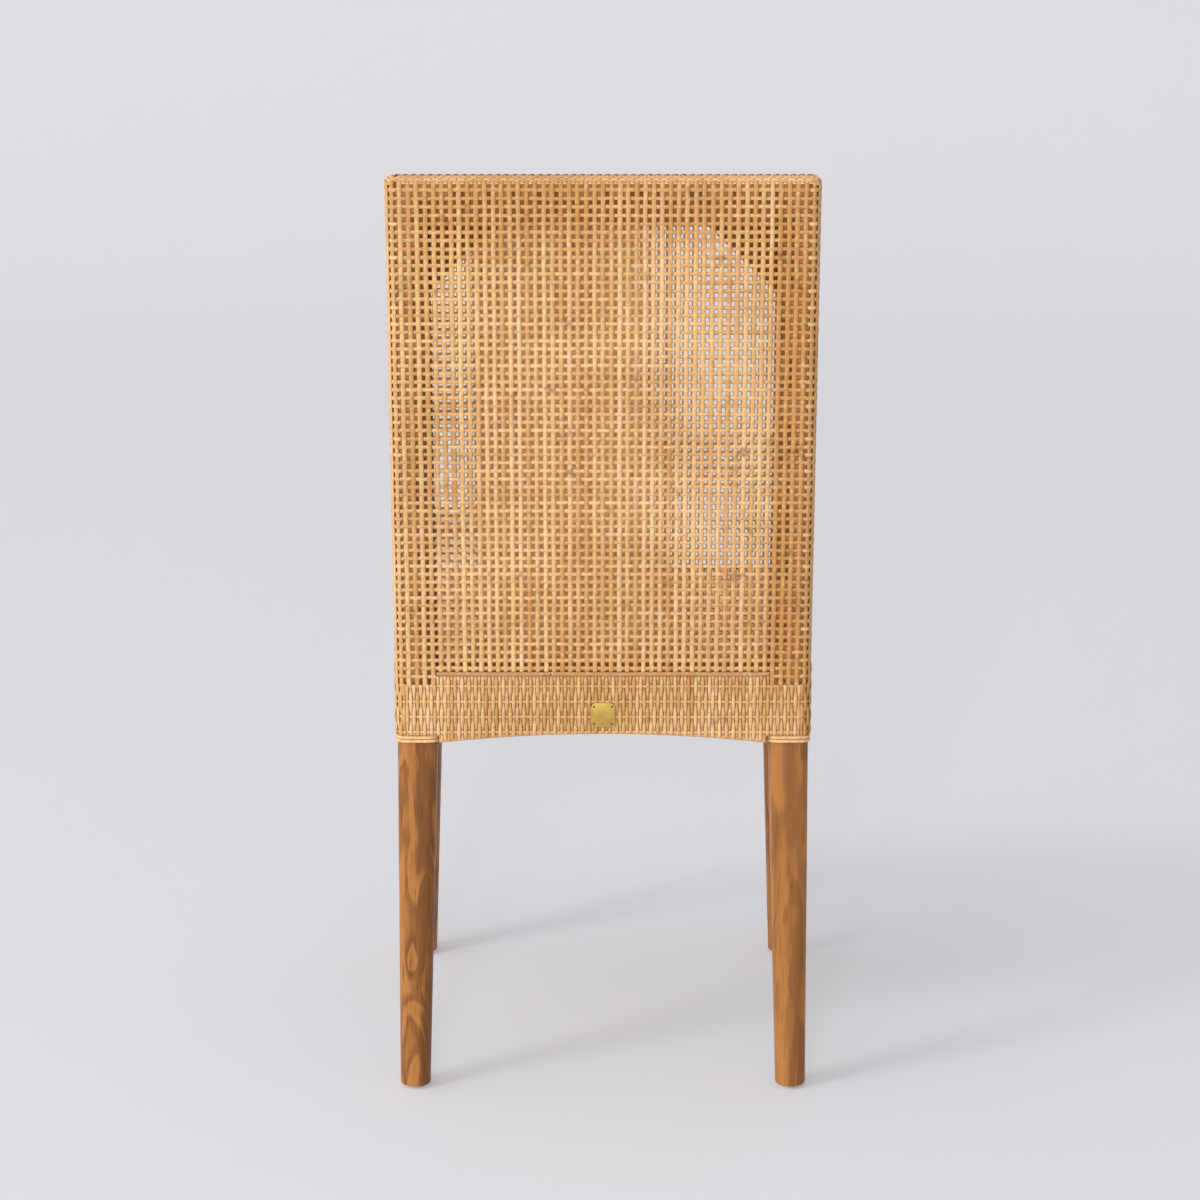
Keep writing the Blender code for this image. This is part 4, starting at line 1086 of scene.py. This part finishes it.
def cap_ribs(weave, cane):
    """Strands side by side over the rounded top of the back, from the rear face to the front."""
    end, base = HALF_BACK - CORNER, TOP - CORNER
    rear, front = rear_at(TOP) - CORNER, front_at(TOP) + CORNER
    turns = np.linspace(CAP_START, pi / 2, 6)
    straight = np.arange(-HALF_BACK + CORNER, end, cane.column_pitch / 2)
    turned = end + CORNER * np.sin(np.radians(CAP_TURNS))
    for x in np.concatenate([-turned[::-1], straight, turned]):
        over = max(abs(x) - end, 0.0)
        radius = (CORNER ** 2 - over ** 2) ** 0.5
        across, up = radius * np.cos(turns), radius * np.sin(turns)
        y = np.concatenate([rear + across, [(rear + front) / 2], front - up])
        z = np.concatenate([base + up, [base + radius], base + across])
        points = spread(x, y, z)
        middle = spread(np.clip(x, CORNER - HALF_BACK, end), np.clip(y, front, rear), np.minimum(z, base))
        normals = unit(points - middle + 1e-6)
        weave.strand(points - normals * CAP_SINK, normals, flat(CAP_WIDTH, cane.strand_thickness))


def rim_route(cane):
    """Round the rim of the cap: the way out, the centre that it turns about, and the plait's phase."""
    long, short = HALF_BACK - CORNER, (rear_at(TOP) - front_at(TOP)) / 2 - CORNER
    out = CORNER * cos(PLAIT_TURN)
    runs = [2 * long, out * pi / 2, 2 * short, out * pi / 2] * 2
    total = sum(runs)
    cycles = round(total / (PITCHES_A_PLAIT * cane.column_pitch))
    along = np.linspace(0.0, total, cycles * POINTS_A_PLAIT, endpoint=False)
    starts = np.cumsum([0.0] + runs)
    corners = np.array([(long, short), (-long, short), (-long, -short), (long, -short)])
    heading = np.zeros(len(along))
    centres = np.zeros((len(along), 2))
    for leg, (run, start) in enumerate(zip(runs, starts)):
        here = (along >= start) & (along < start + run)
        share = (along[here] - start) / run
        quarter = leg // 2
        first, following = corners[quarter], corners[(quarter + 1) % 4]
        if leg % 2:
            heading[here] = pi / 2 * (quarter + 1 + share)
            centres[here] = following
        else:
            heading[here] = pi / 2 * (quarter + 1)
            centres[here] = first + (following - first) * share[:, None]
    return heading, centres, tau * cycles * along / total


def plait(weave, cane):
    """Three strands plaited all round the rounded rim of the cap, over a flat one."""
    heading, centres, angle = rim_route(cane)
    middle = (rear_at(TOP) + front_at(TOP)) / 2
    strands = [(PLAIT_TURN + PLAIT_REACH / CORNER * np.sin(angle + start),
                PLAIT_RISE * np.sin(2 * (angle + start)) - PLAIT_SINK,
                flat(PLAIT_WIDTH, PLAIT_THICKNESS), 0.35 + start / 10)
               for start in (0.0, tau / 3, 2 * tau / 3)]
    strands.append((PLAIT_TURN + 0.0 * angle, UNDER_PLAIT_LIFT, flat(0.0080, 0.0008), UNDER_PLAIT_TONE))
    for climb, lift, section, tone in strands:
        out = np.cos(climb)
        normals = spread(np.cos(heading) * out, np.sin(heading) * out, np.sin(climb))
        axis = spread(centres[:, 0], centres[:, 1] + middle, TOP - CORNER)
        points = axis + normals * np.atleast_1d(CORNER + lift)[:, None]
        weave.strand(points, normals, section, closed=True, tone=tone)


class CHAIR_OT_top_border(Operator):
    """Finishes the top of the back with close strands and a plait along its rim"""
    bl_idname = "chair.top_border"
    bl_label = "Top border"

    def execute(self, context):
        cane = context.scene.chair_cane
        weave = Weave(cane.seed + 4)
        cap_ribs(weave, cane)
        plait(weave, cane)
        material = cane_material(cane, "border_cane", variety=0.8, flecks=0.4)
        weave.piece("top_border", material, "pale_cane", "top_braid")
        return {"FINISHED"}


def stake_spans(stakes, low_at, places):
    """Where each stake lies above the lower edge of its apron, as runs of places."""
    spans = []
    for height in stakes:
        clear = [place for place in places if low_at(place) < height - MARGIN]
        spans.append((min(clear), max(clear)) if clear else (0.0, MARGIN))
    return spans


def weave_apron(cane, seed, name, node, face, axis, reach, high_at, collars):
    """An apron whose strands stand side by side along an axis, from its lower edge up to a height."""
    stakes = apron_stakes(cane)
    low = lower_edge(node, axis)
    weave = Weave(cane.seed + seed)
    columns = filled(*reach, cane.close_pitch)
    close_weave(weave, face, columns, low, high_at, stakes, cane)
    lay_stakes(weave, face, stakes, stake_spans(stakes, low, columns), cane)
    close_low_edge(weave, face, low, tuple(zip(collars, (-1, 1))), cane)
    weave.piece(name, cane_material(cane), "cane", node)


class CHAIR_OT_aprons(Operator):
    """Weaves the close cane round the seat frame"""
    bl_idname = "chair.aprons"
    bl_label = "Aprons"

    def execute(self, context):
        cane = context.scene.chair_cane
        rear_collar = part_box("leg_collar_rear_left")[0]
        front_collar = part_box("leg_collar_front_left")

        def rear_high(x):
            above_posts = apron_stakes(cane)[0] + 2 * MARGIN
            return BATTEN_LOW - HAIR / 2 if abs(x) < OPENING_HALF + MARGIN else above_posts

        def side_high(y):
            return SEAT - HAIR if y > BACK_FRONT - MARGIN else SEAT - RIM_COVER

        edge, inner = HALF_BACK - CORNER, rear_collar.x - COLLAR_GAP
        weave_apron(cane, 5, "rear_apron_weave", "cane_apron_rear", upright_face(REAR, 1.0), 0,
                    (-edge, edge), rear_high, (-inner, inner))
        edge, inner = HALF_SEAT - CORNER, front_collar[0].x - COLLAR_GAP
        weave_apron(cane, 6, "front_apron_weave", "cane_apron_front", upright_face(FRONT, -1.0), 0,
                    (-edge, edge), lambda x: SEAT - RIM_COVER, (-inner, inner))
        collars = (front_collar[1].y + COLLAR_GAP, rear_collar.y - COLLAR_GAP)
        for label, side in SIDES:
            weave_apron(cane, 7, f"side_apron_weave_{label}", f"cane_apron_{label}", seat_side(side), 1,
                        (FRONT + CORNER, REAR - CORNER), side_high, collars)
        return {"FINISHED"}


# The seat: how far its strands stop short of its edge, how they crowd, and its stakes
SEAT_INSET, SEAT_CROWD = 0.0052, 1.03
SEAT_STAKES, SEAT_BORDER = 24, 0.008
# The strands under them: spacing, width, thickness, lift, tone, and how far short they stop, as a share
UNDER_PITCH, UNDER_WIDTH, UNDER_THICKNESS = 0.0046, 0.0049, 0.0006
UNDER_LIFT, UNDER_TONE, UNDER_SHORT = -0.0002, 1.05, 0.004
# The flat strand round the rim: how far in and down it runs, its bow, width, thickness and tone
RIM_INSET, RIM_BOW, RIM_WIDTH, RIM_THICKNESS, RIM_TONE = 0.0035, 0.0046, 0.0078, 0.0024, 0.2


def rim_line():
    """Points along the upper edge of the seat: one side, the front and the other side."""
    depths = np.linspace(BACK_FRONT + 0.005, FRONT + CORNER, 14)
    side = [(half_at(y) - RIM_INSET, y) for y in depths[:-1]]
    radius = CORNER - RIM_INSET
    arc = [(HALF_SEAT - CORNER + radius * cos(turn), FRONT + CORNER - radius * sin(turn))
           for turn in np.linspace(0.0, pi / 2, 7)]
    half = np.array(side + arc)
    return np.concatenate([half, half[::-1] * [-1, 1]])


def lay_rim(weave):
    """The flat strand bowed over the upper edge of the seat."""
    rim = rim_line()
    run = unit(np.gradient(rim, axis=0))
    diagonal = sin(pi / 4)
    outward = np.stack([run[:, 1], -run[:, 0]], axis=1)
    outward *= np.sign((outward * (rim - [0.0, (FRONT + BACK_FRONT) / 2])).sum(axis=1, keepdims=True))
    normals = spread(outward[:, 0] * diagonal, outward[:, 1] * diagonal, diagonal)
    points = spread(rim[:, 0], rim[:, 1], SEAT - RIM_INSET) + normals * RIM_BOW
    weave.strand(points, normals, bowed(RIM_WIDTH, RIM_BOW, RIM_THICKNESS), tone=RIM_TONE)


class CHAIR_OT_seat_weave(Operator):
    """Weaves the seat, and lays a flat strand round its upper edge"""
    bl_idname = "chair.seat_weave"
    bl_label = "Seat weave"

    def execute(self, context):
        cane = context.scene.chair_cane
        weave = Weave(cane.seed + 8)
        span = 1 - SEAT_INSET / HALF_SEAT
        shares = centred(int(2 * (HALF_BACK - SEAT_INSET) / cane.close_pitch * SEAT_CROWD), 1.0)
        shares = shares / shares.max() * span
        stakes = BACK_FRONT - SEAT_BORDER - cane.stake_pitch * np.arange(SEAT_STAKES)

        def front_end(share):
            over = max(abs(share) * HALF_SEAT - (HALF_SEAT - CORNER), 0.0)
            return FRONT + SEAT_INSET + CORNER - (CORNER ** 2 - over ** 2) ** 0.5

        close_weave(weave, seat_face, shares, front_end, lambda share: BACK_FRONT - 0.0006, stakes, cane,
                    tuck=False)
        stakes = stakes[stakes > FRONT + 0.006]
        lay_stakes(weave, seat_face, stakes, [(-span, span)] * len(stakes), cane)
        share = steps(-span + UNDER_SHORT, span - UNDER_SHORT, 0.05)
        for depth in np.arange(FRONT + SEAT_BORDER, BACK_FRONT - 2 * MARGIN, UNDER_PITCH):
            weave.over(seat_face, share, depth, UNDER_LIFT, flat(UNDER_WIDTH, UNDER_THICKNESS),
                       tone=UNDER_TONE)
        lay_rim(weave)
        weave.piece("seat_weave", cane_material(cane), "cane", "cane_seat")
        return {"FINISHED"}


def rounded_corners(low, high, radius, count):
    """Points round a rounded rectangle in its own plane, and the way each faces."""
    points, outward = [], []
    for quarter, (x, y) in enumerate(((high.x, high.y), (low.x, high.y), (low.x, low.y), (high.x, low.y))):
        middle = (x + (radius if x == low.x else -radius), y + (radius if y == low.y else -radius))
        for step in range(count):
            turn = pi / 2 * (quarter + step / (count - 1))
            outward.append((cos(turn), sin(turn)))
            points.append((middle[0] + radius * cos(turn), middle[1] + radius * sin(turn)))
    return np.array(points), np.array(outward)


COLLAR_TURNS, COLLAR_THICKNESS, COLLAR_SHARE = 2, 0.0022, 0.97


class CHAIR_OT_collars(Operator):
    """Winds the two flat strands round the top of each bare leg"""
    bl_idname = "chair.collars"
    bl_label = "Leg collars"

    def execute(self, context):
        cane = context.scene.chair_cane
        for leg in ("rear_left", "rear_right", "front_left", "front_right"):
            node = f"leg_collar_{leg}"
            low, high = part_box(node)
            outline, outward = rounded_corners(low.xy, high.xy, CORNER, 7)
            normals = spread(*outward.T, 0.0)
            width = (high.z - low.z) / COLLAR_TURNS
            weave = Weave(cane.seed + 9)
            for turn in range(COLLAR_TURNS):
                points = spread(*outline.T, low.z + width * (turn + 0.5)) - normals * COLLAR_THICKNESS / 2
                weave.strand(points, normals, flat(width * COLLAR_SHARE, COLLAR_THICKNESS), closed=True,
                             tone=0.1 + 0.1 * turn)
            weave.piece(f"leg_collar_strands_{leg}", edge_material(cane), "pale_cane", node)
        return {"FINISHED"}


# A batten: how deep its axis lies, its thickness, and the share that it keeps of the solid's height
BATTEN_SINK, BATTEN_THICKNESS, BATTEN_SHARE, BATTEN_SIDES = 0.0013, 0.0028, 0.92, 10
BATTEN_STEP, BATTEN_WANDER, BATTEN_TONE = 0.008, 0.0002, 0.35
# Length of its tapered ends, and the share of its width that is left there
TAPER, TAPER_SHARE = 0.003, 0.86


class CHAIR_OT_battens(Operator):
    """Lays the two battens that end the open weave above the rear apron"""
    bl_idname = "chair.battens"
    bl_label = "Battens"

    def execute(self, context):
        cane = context.scene.chair_cane
        material = cane_material(cane, "batten_cane_finish", variety=0.7, flecks=0.3, pale=cane.batten)
        for label, _ in SIDES:
            low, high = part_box(f"batten_{label}")
            weave = Weave(cane.seed + 10)
            x = steps(low.x, high.x, BATTEN_STEP)
            height = (low.z + high.z) / 2 + weave.stray(x, BATTEN_WANDER)
            ends = np.minimum((x - low.x) / TAPER, (high.x - x) / TAPER)
            scale = TAPER_SHARE + (1.0 - TAPER_SHARE) * np.clip(ends, 0.0, 1.0)
            section = rod(BATTEN_SHARE * (high.z - low.z), BATTEN_THICKNESS, BATTEN_SIDES)
            weave.strand(spread(x, high.y - BATTEN_SINK, height), spread(0.0 * x, 1.0, 0.0), section,
                         scale=scale, tone=BATTEN_TONE)
            weave.piece(f"batten_strip_{label}", material, "batten_cane", f"batten_{label}")
        finish_nodes(bronze_material(context.scene.chair_trim), "batten_pin")
        return {"FINISHED"}


PLATE_ROUNDING, PLATE_EASE, PLATE_SHARP = 0.0068, 0.0004, radians(40)
PIN_RADIUS, PIN_RISE = 0.0012, 0.0007


def smooth_mesh(bm, name):
    mesh = bpy.data.meshes.new(name)
    bm.to_mesh(mesh)
    bm.free()
    mesh.shade_smooth()
    return mesh


def rounded_plate(low, high):
    """A plate with rounded corners and eased edges, as a mesh."""
    outline, _ = rounded_corners(low.xz, high.xz, PLATE_ROUNDING, 9)
    bm = bmesh.new()
    face = bm.faces.new([bm.verts.new((x, low.y, z)) for x, z in outline])
    raised = bmesh.ops.extrude_face_region(bm, geom=[face])["geom"]
    top = [item for item in raised if isinstance(item, bmesh.types.BMVert)]
    bmesh.ops.translate(bm, verts=top, vec=(0.0, high.y - low.y, 0.0))
    bmesh.ops.recalc_face_normals(bm, faces=bm.faces)
    rim = [edge for edge in bm.edges if all(vert in top for vert in edge.verts)]
    bmesh.ops.bevel(bm, geom=rim, offset=PLATE_EASE, segments=3, profile=0.5, affect="EDGES")
    mesh = smooth_mesh(bm, "plate")
    mesh.set_sharp_from_angle(angle=PLATE_SHARP)
    return mesh


def domed_head(centre):
    """A low round head that bulges towards +Y."""
    bm = bmesh.new()
    bmesh.ops.create_uvsphere(bm, u_segments=20, v_segments=10, radius=PIN_RADIUS)
    for vert in bm.verts:
        x, y, z = vert.co
        vert.co = (centre.x + x, centre.y + y * PIN_RISE / PIN_RADIUS, centre.z + z)
    return smooth_mesh(bm, "head")


class CHAIR_OT_plate(Operator):
    """Fits the plain brass plate and its four pins"""
    bl_idname = "chair.plate"
    bl_label = "Brass plate"

    def execute(self, context):
        trim = context.scene.chair_trim
        material = worn_material("brass_finish", trim.brass, 0.35, 0.36, (160.0, 400.0, 1500.0), 1.0)
        low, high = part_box("brass_plate")
        add_piece("plate_face", rounded_plate(low, high), material, "brass", "brass_plate")
        dark = bronze_material(trim)
        for number in range(1, 5):
            node = f"brass_plate_pin_{number}"
            pin_low, pin_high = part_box(node)
            middle = (pin_low + pin_high) / 2
            head = domed_head(Vector((middle.x, high.y, middle.z)))
            add_piece(f"plate_pin_{number}", head, dark, "brass", node)
        return {"FINISHED"}


# Each leg's wood: its heart, scale of rings, strength and depth of figure, and place of a painted shade band
# on the leg's side away from the light (towards -X)
LEG_WOOD = {
    "rear_leg_left": ((0.232, 0.235, 0.20), 28.0, 0.8, 0.68, 0.193),
    "rear_leg_right": ((-0.30, 0.30, 0.9), 30.0, 0.4, 0.50, -0.216),
    "front_leg_left": ((0.28, -0.30, 0.4), 60.0, 0.6, 0.5, NO_SHADE_BAND),
    "front_leg_right": ((-0.18, -0.34, 0.1), 60.0, 0.6, 0.5, NO_SHADE_BAND),
}
FRAME_WOOD = ((0.4, 0.1, 0.2), 120.0, 0.6, 0.6)
FRAME_WORDS = ("rail", "gusset", "slat", "block")


class CHAIR_OT_frame_finish(Operator):
    """Finishes the wood, bolts and glides of the frame"""
    bl_idname = "chair.frame_finish"
    bl_label = "Frame finish"

    def execute(self, context):
        wood, trim = context.scene.chair_wood, context.scene.chair_trim
        for node, values in LEG_WOOD.items():
            finish_nodes(wood_material(f"wood_{node}", wood.light, wood.dark, *values), node)
        plain = wood_material("wood_plain", wood.frame, tuple(0.5 * c for c in wood.frame), *FRAME_WOOD)
        steel = worn_material("steel_finish", trim.steel, 0.4, 0.35, (300.0, 300.0, 300.0), 1.0)
        plastic = worn_material("plastic_finish", trim.plastic, 0.25, 0.5, (200.0, 200.0, 200.0))
        for node in frame["nodes"]:
            if node.endswith("bolt"):
                finish_nodes(steel, node)
            elif any(word in node for word in FRAME_WORDS):
                finish_nodes(plain, node)
            elif node.startswith("glide"):
                finish_nodes(plastic, node)
        return {"FINISHED"}


# Studio: the floor's half width and near edge, the wall behind it, and where one colour becomes the other
SWEEP_HALF, SWEEP_NEAR, WALL_TURN, WALL_RADIUS, WALL_TOP = 18.0, 16.0, -4.6, 2.0, 5.0
FLOOR_END, WALL_START = -0.5, -6.5
# Lights: place, target and size
KEY_LIGHT = ((6.6, 4.2, 5.3), (0.0, 0.0, 0.45), 2.0)
FILL_LIGHT = ((0.6, 5.4, 2.0), (0.0, 0.0, 0.6), 0.8)
# Light from all round: its colour, the way to its stronger side, and its strength where it is seen
SKY_COLOUR, SKY_SIDE, SKY_SEEN = (0.97, 0.96, 1.0, 1.0), (0.813, 0.508, 0.285), 0.745


def area_light(name, place, target, size, watts):
    data = bpy.data.lights.new(name, "AREA")
    data.shape = "RECTANGLE"
    data.size = data.size_y = size
    data.energy = watts
    light = bpy.data.objects.new(name, data)
    light.location = place
    light.rotation_euler = (Vector(target) - Vector(place)).to_track_quat("-Z", "Y").to_euler()
    bpy.context.scene.collection.objects.link(light)
    return light


def sweep_mesh():
    """A floor that turns up into a wall far behind the chair."""
    turns = np.linspace(0.0, pi / 2, 16)
    y = np.concatenate([[SWEEP_NEAR], WALL_TURN - WALL_RADIUS * np.sin(turns), [WALL_TURN - WALL_RADIUS]])
    z = np.concatenate([[0.0], WALL_RADIUS - WALL_RADIUS * np.cos(turns), [WALL_TOP]])
    points = [(x, a, b) for a, b in zip(y, z) for x in (-SWEEP_HALF, SWEEP_HALF)]
    faces = [(2 * i, 2 * i + 1, 2 * i + 3, 2 * i + 2) for i in range(len(y) - 1)]
    mesh = bpy.data.meshes.new("studio_sweep")
    mesh.from_pydata(points, [], faces)
    mesh.shade_smooth()
    return mesh


def seen_directly(graph):
    """One on rays from the camera, and on those that metal mirrors."""
    rays = graph.add("ShaderNodeLightPath").outputs
    return graph.larger(rays["Is Camera Ray"], rays["Is Glossy Ray"])


def floor_material(settings):
    """A pale floor, part of whose brightness only the camera sees, so that its shadows stay light."""
    material = bpy.data.materials.new("floor_paint")
    material.use_nodes = True
    tree = material.node_tree
    graph = Graph(tree)
    place = graph.place()
    depth = graph.parts(place)["Y"]
    base = graph.mix(graph.ramp(depth, FLOOR_END, WALL_START), as_colour(settings.floor),
                     as_colour(settings.wall))
    cloud = graph.noise(place, 0.8, 2.0)
    base = graph.mix(cloud, base, graph.tinted(base, (0.985, 0.985, 0.985)))
    seen = seen_directly(graph)
    full = graph.tinted(base, (1.6, 1.6, 1.6))
    shader = tree.nodes["Principled BSDF"]
    tree.links.new(graph.mix(seen, full, base), shader.inputs["Base Color"])
    shader.inputs["Roughness"].default_value = 0.9
    shader.inputs["Specular IOR Level"].default_value = 0.1
    shown = graph.mix(seen, BLACK, (0.973, 0.970, 1.0, 1.0))
    tree.links.new(shown, shader.inputs["Emission Color"])
    shader.inputs["Emission Strength"].default_value = 0.25
    return material


def studio_world(strength):
    """Light from all round, strongest overhead and from behind the chair's left."""
    world = bpy.data.worlds.new("studio_world")
    world.use_nodes = True
    tree = world.node_tree
    graph = Graph(tree)
    direction = graph.place("Generated")
    height = graph.parts(direction)["Z"]
    amount = graph.plus(0.24, graph.ramp(height, 0.0, 0.95, 0.3))
    toward = graph.add("ShaderNodeVectorMath", {0: direction, 1: SKY_SIDE}, operation="DOT_PRODUCT")
    amount = graph.plus(amount, graph.ramp(toward.outputs["Value"], 0.1, 1.0, 1.05))
    seen = seen_directly(graph)
    lit = graph.times(graph.times(amount, strength), graph.math("SUBTRACT", 1.0, seen))
    back = tree.nodes["Background"]
    back.inputs["Color"].default_value = SKY_COLOUR
    tree.links.new(graph.plus(lit, graph.times(seen, SKY_SEEN)), back.inputs["Strength"])
    return world


class CHAIR_OT_stage(Operator):
    """Sets the floor, the lights, the surroundings and the camera"""
    bl_idname = "chair.stage"
    bl_label = "Stage"

    def execute(self, context):
        settings = context.scene.chair_stage
        scene = context.scene
        mesh = sweep_mesh()
        mesh.materials.append(floor_material(settings))
        floor = bpy.data.objects.new("studio_sweep", mesh)
        scene.collection.objects.link(floor)
        key = area_light("key_light", *KEY_LIGHT, settings.key)
        fill = area_light("fill_light", *FILL_LIGHT, settings.fill)

        scene.world = studio_world(settings.sky)

        data = bpy.data.cameras.new("photo_camera")
        data.sensor_width = 36.0
        data.lens = settings.lens
        camera = bpy.data.objects.new("photo_camera", data)
        camera.location = (settings.camera_side, REAR + settings.camera_distance, settings.camera_height)
        camera.rotation_euler = (pi / 2 - settings.camera_pitch, 0.0, pi)
        scene.collection.objects.link(camera)
        scene.camera = camera
        scene.view_settings.view_transform = "Standard"
        return {"FINISHED"}


STEPS = (CHAIR_OT_frame_finish, CHAIR_OT_back_weave, CHAIR_OT_side_weave, CHAIR_OT_edge_strands,
         CHAIR_OT_top_border, CHAIR_OT_aprons, CHAIR_OT_seat_weave, CHAIR_OT_collars, CHAIR_OT_battens,
         CHAIR_OT_plate, CHAIR_OT_stage)
GROUPS = {"chair_cane": ChairCaneSettings, "chair_wood": ChairWoodSettings, "chair_trim": ChairTrimSettings,
          "chair_stage": ChairStageSettings}


class CHAIR_PT_looks(Panel):
    """Settings and steps of the chair's looks"""
    bl_idname = "CHAIR_PT_looks"
    bl_label = "Cane back chair"
    bl_space_type = "VIEW_3D"
    bl_region_type = "UI"
    bl_category = "Chair"

    def draw(self, context):
        for name in GROUPS:
            group = getattr(context.scene, name)
            box = self.layout.box()
            for key in group.__annotations__:
                box.prop(group, key)
        for step in STEPS:
            self.layout.operator(step.bl_idname)


def register():
    for name, group in GROUPS.items():
        bpy.utils.register_class(group)
        setattr(bpy.types.Scene, name, PointerProperty(type=group))
    for item in (*STEPS, CHAIR_PT_looks):
        bpy.utils.register_class(item)


def unregister():
    for item in (CHAIR_PT_looks, *reversed(STEPS)):
        bpy.utils.unregister_class(item)
    for name, group in reversed(GROUPS.items()):
        delattr(bpy.types.Scene, name)
        bpy.utils.unregister_class(group)


def main():
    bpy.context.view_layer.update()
    register()
    for step in STEPS:
        family, name = step.bl_idname.split(".")
        getattr(getattr(bpy.ops, family), name)()


if __name__ == "__main__":
    main()
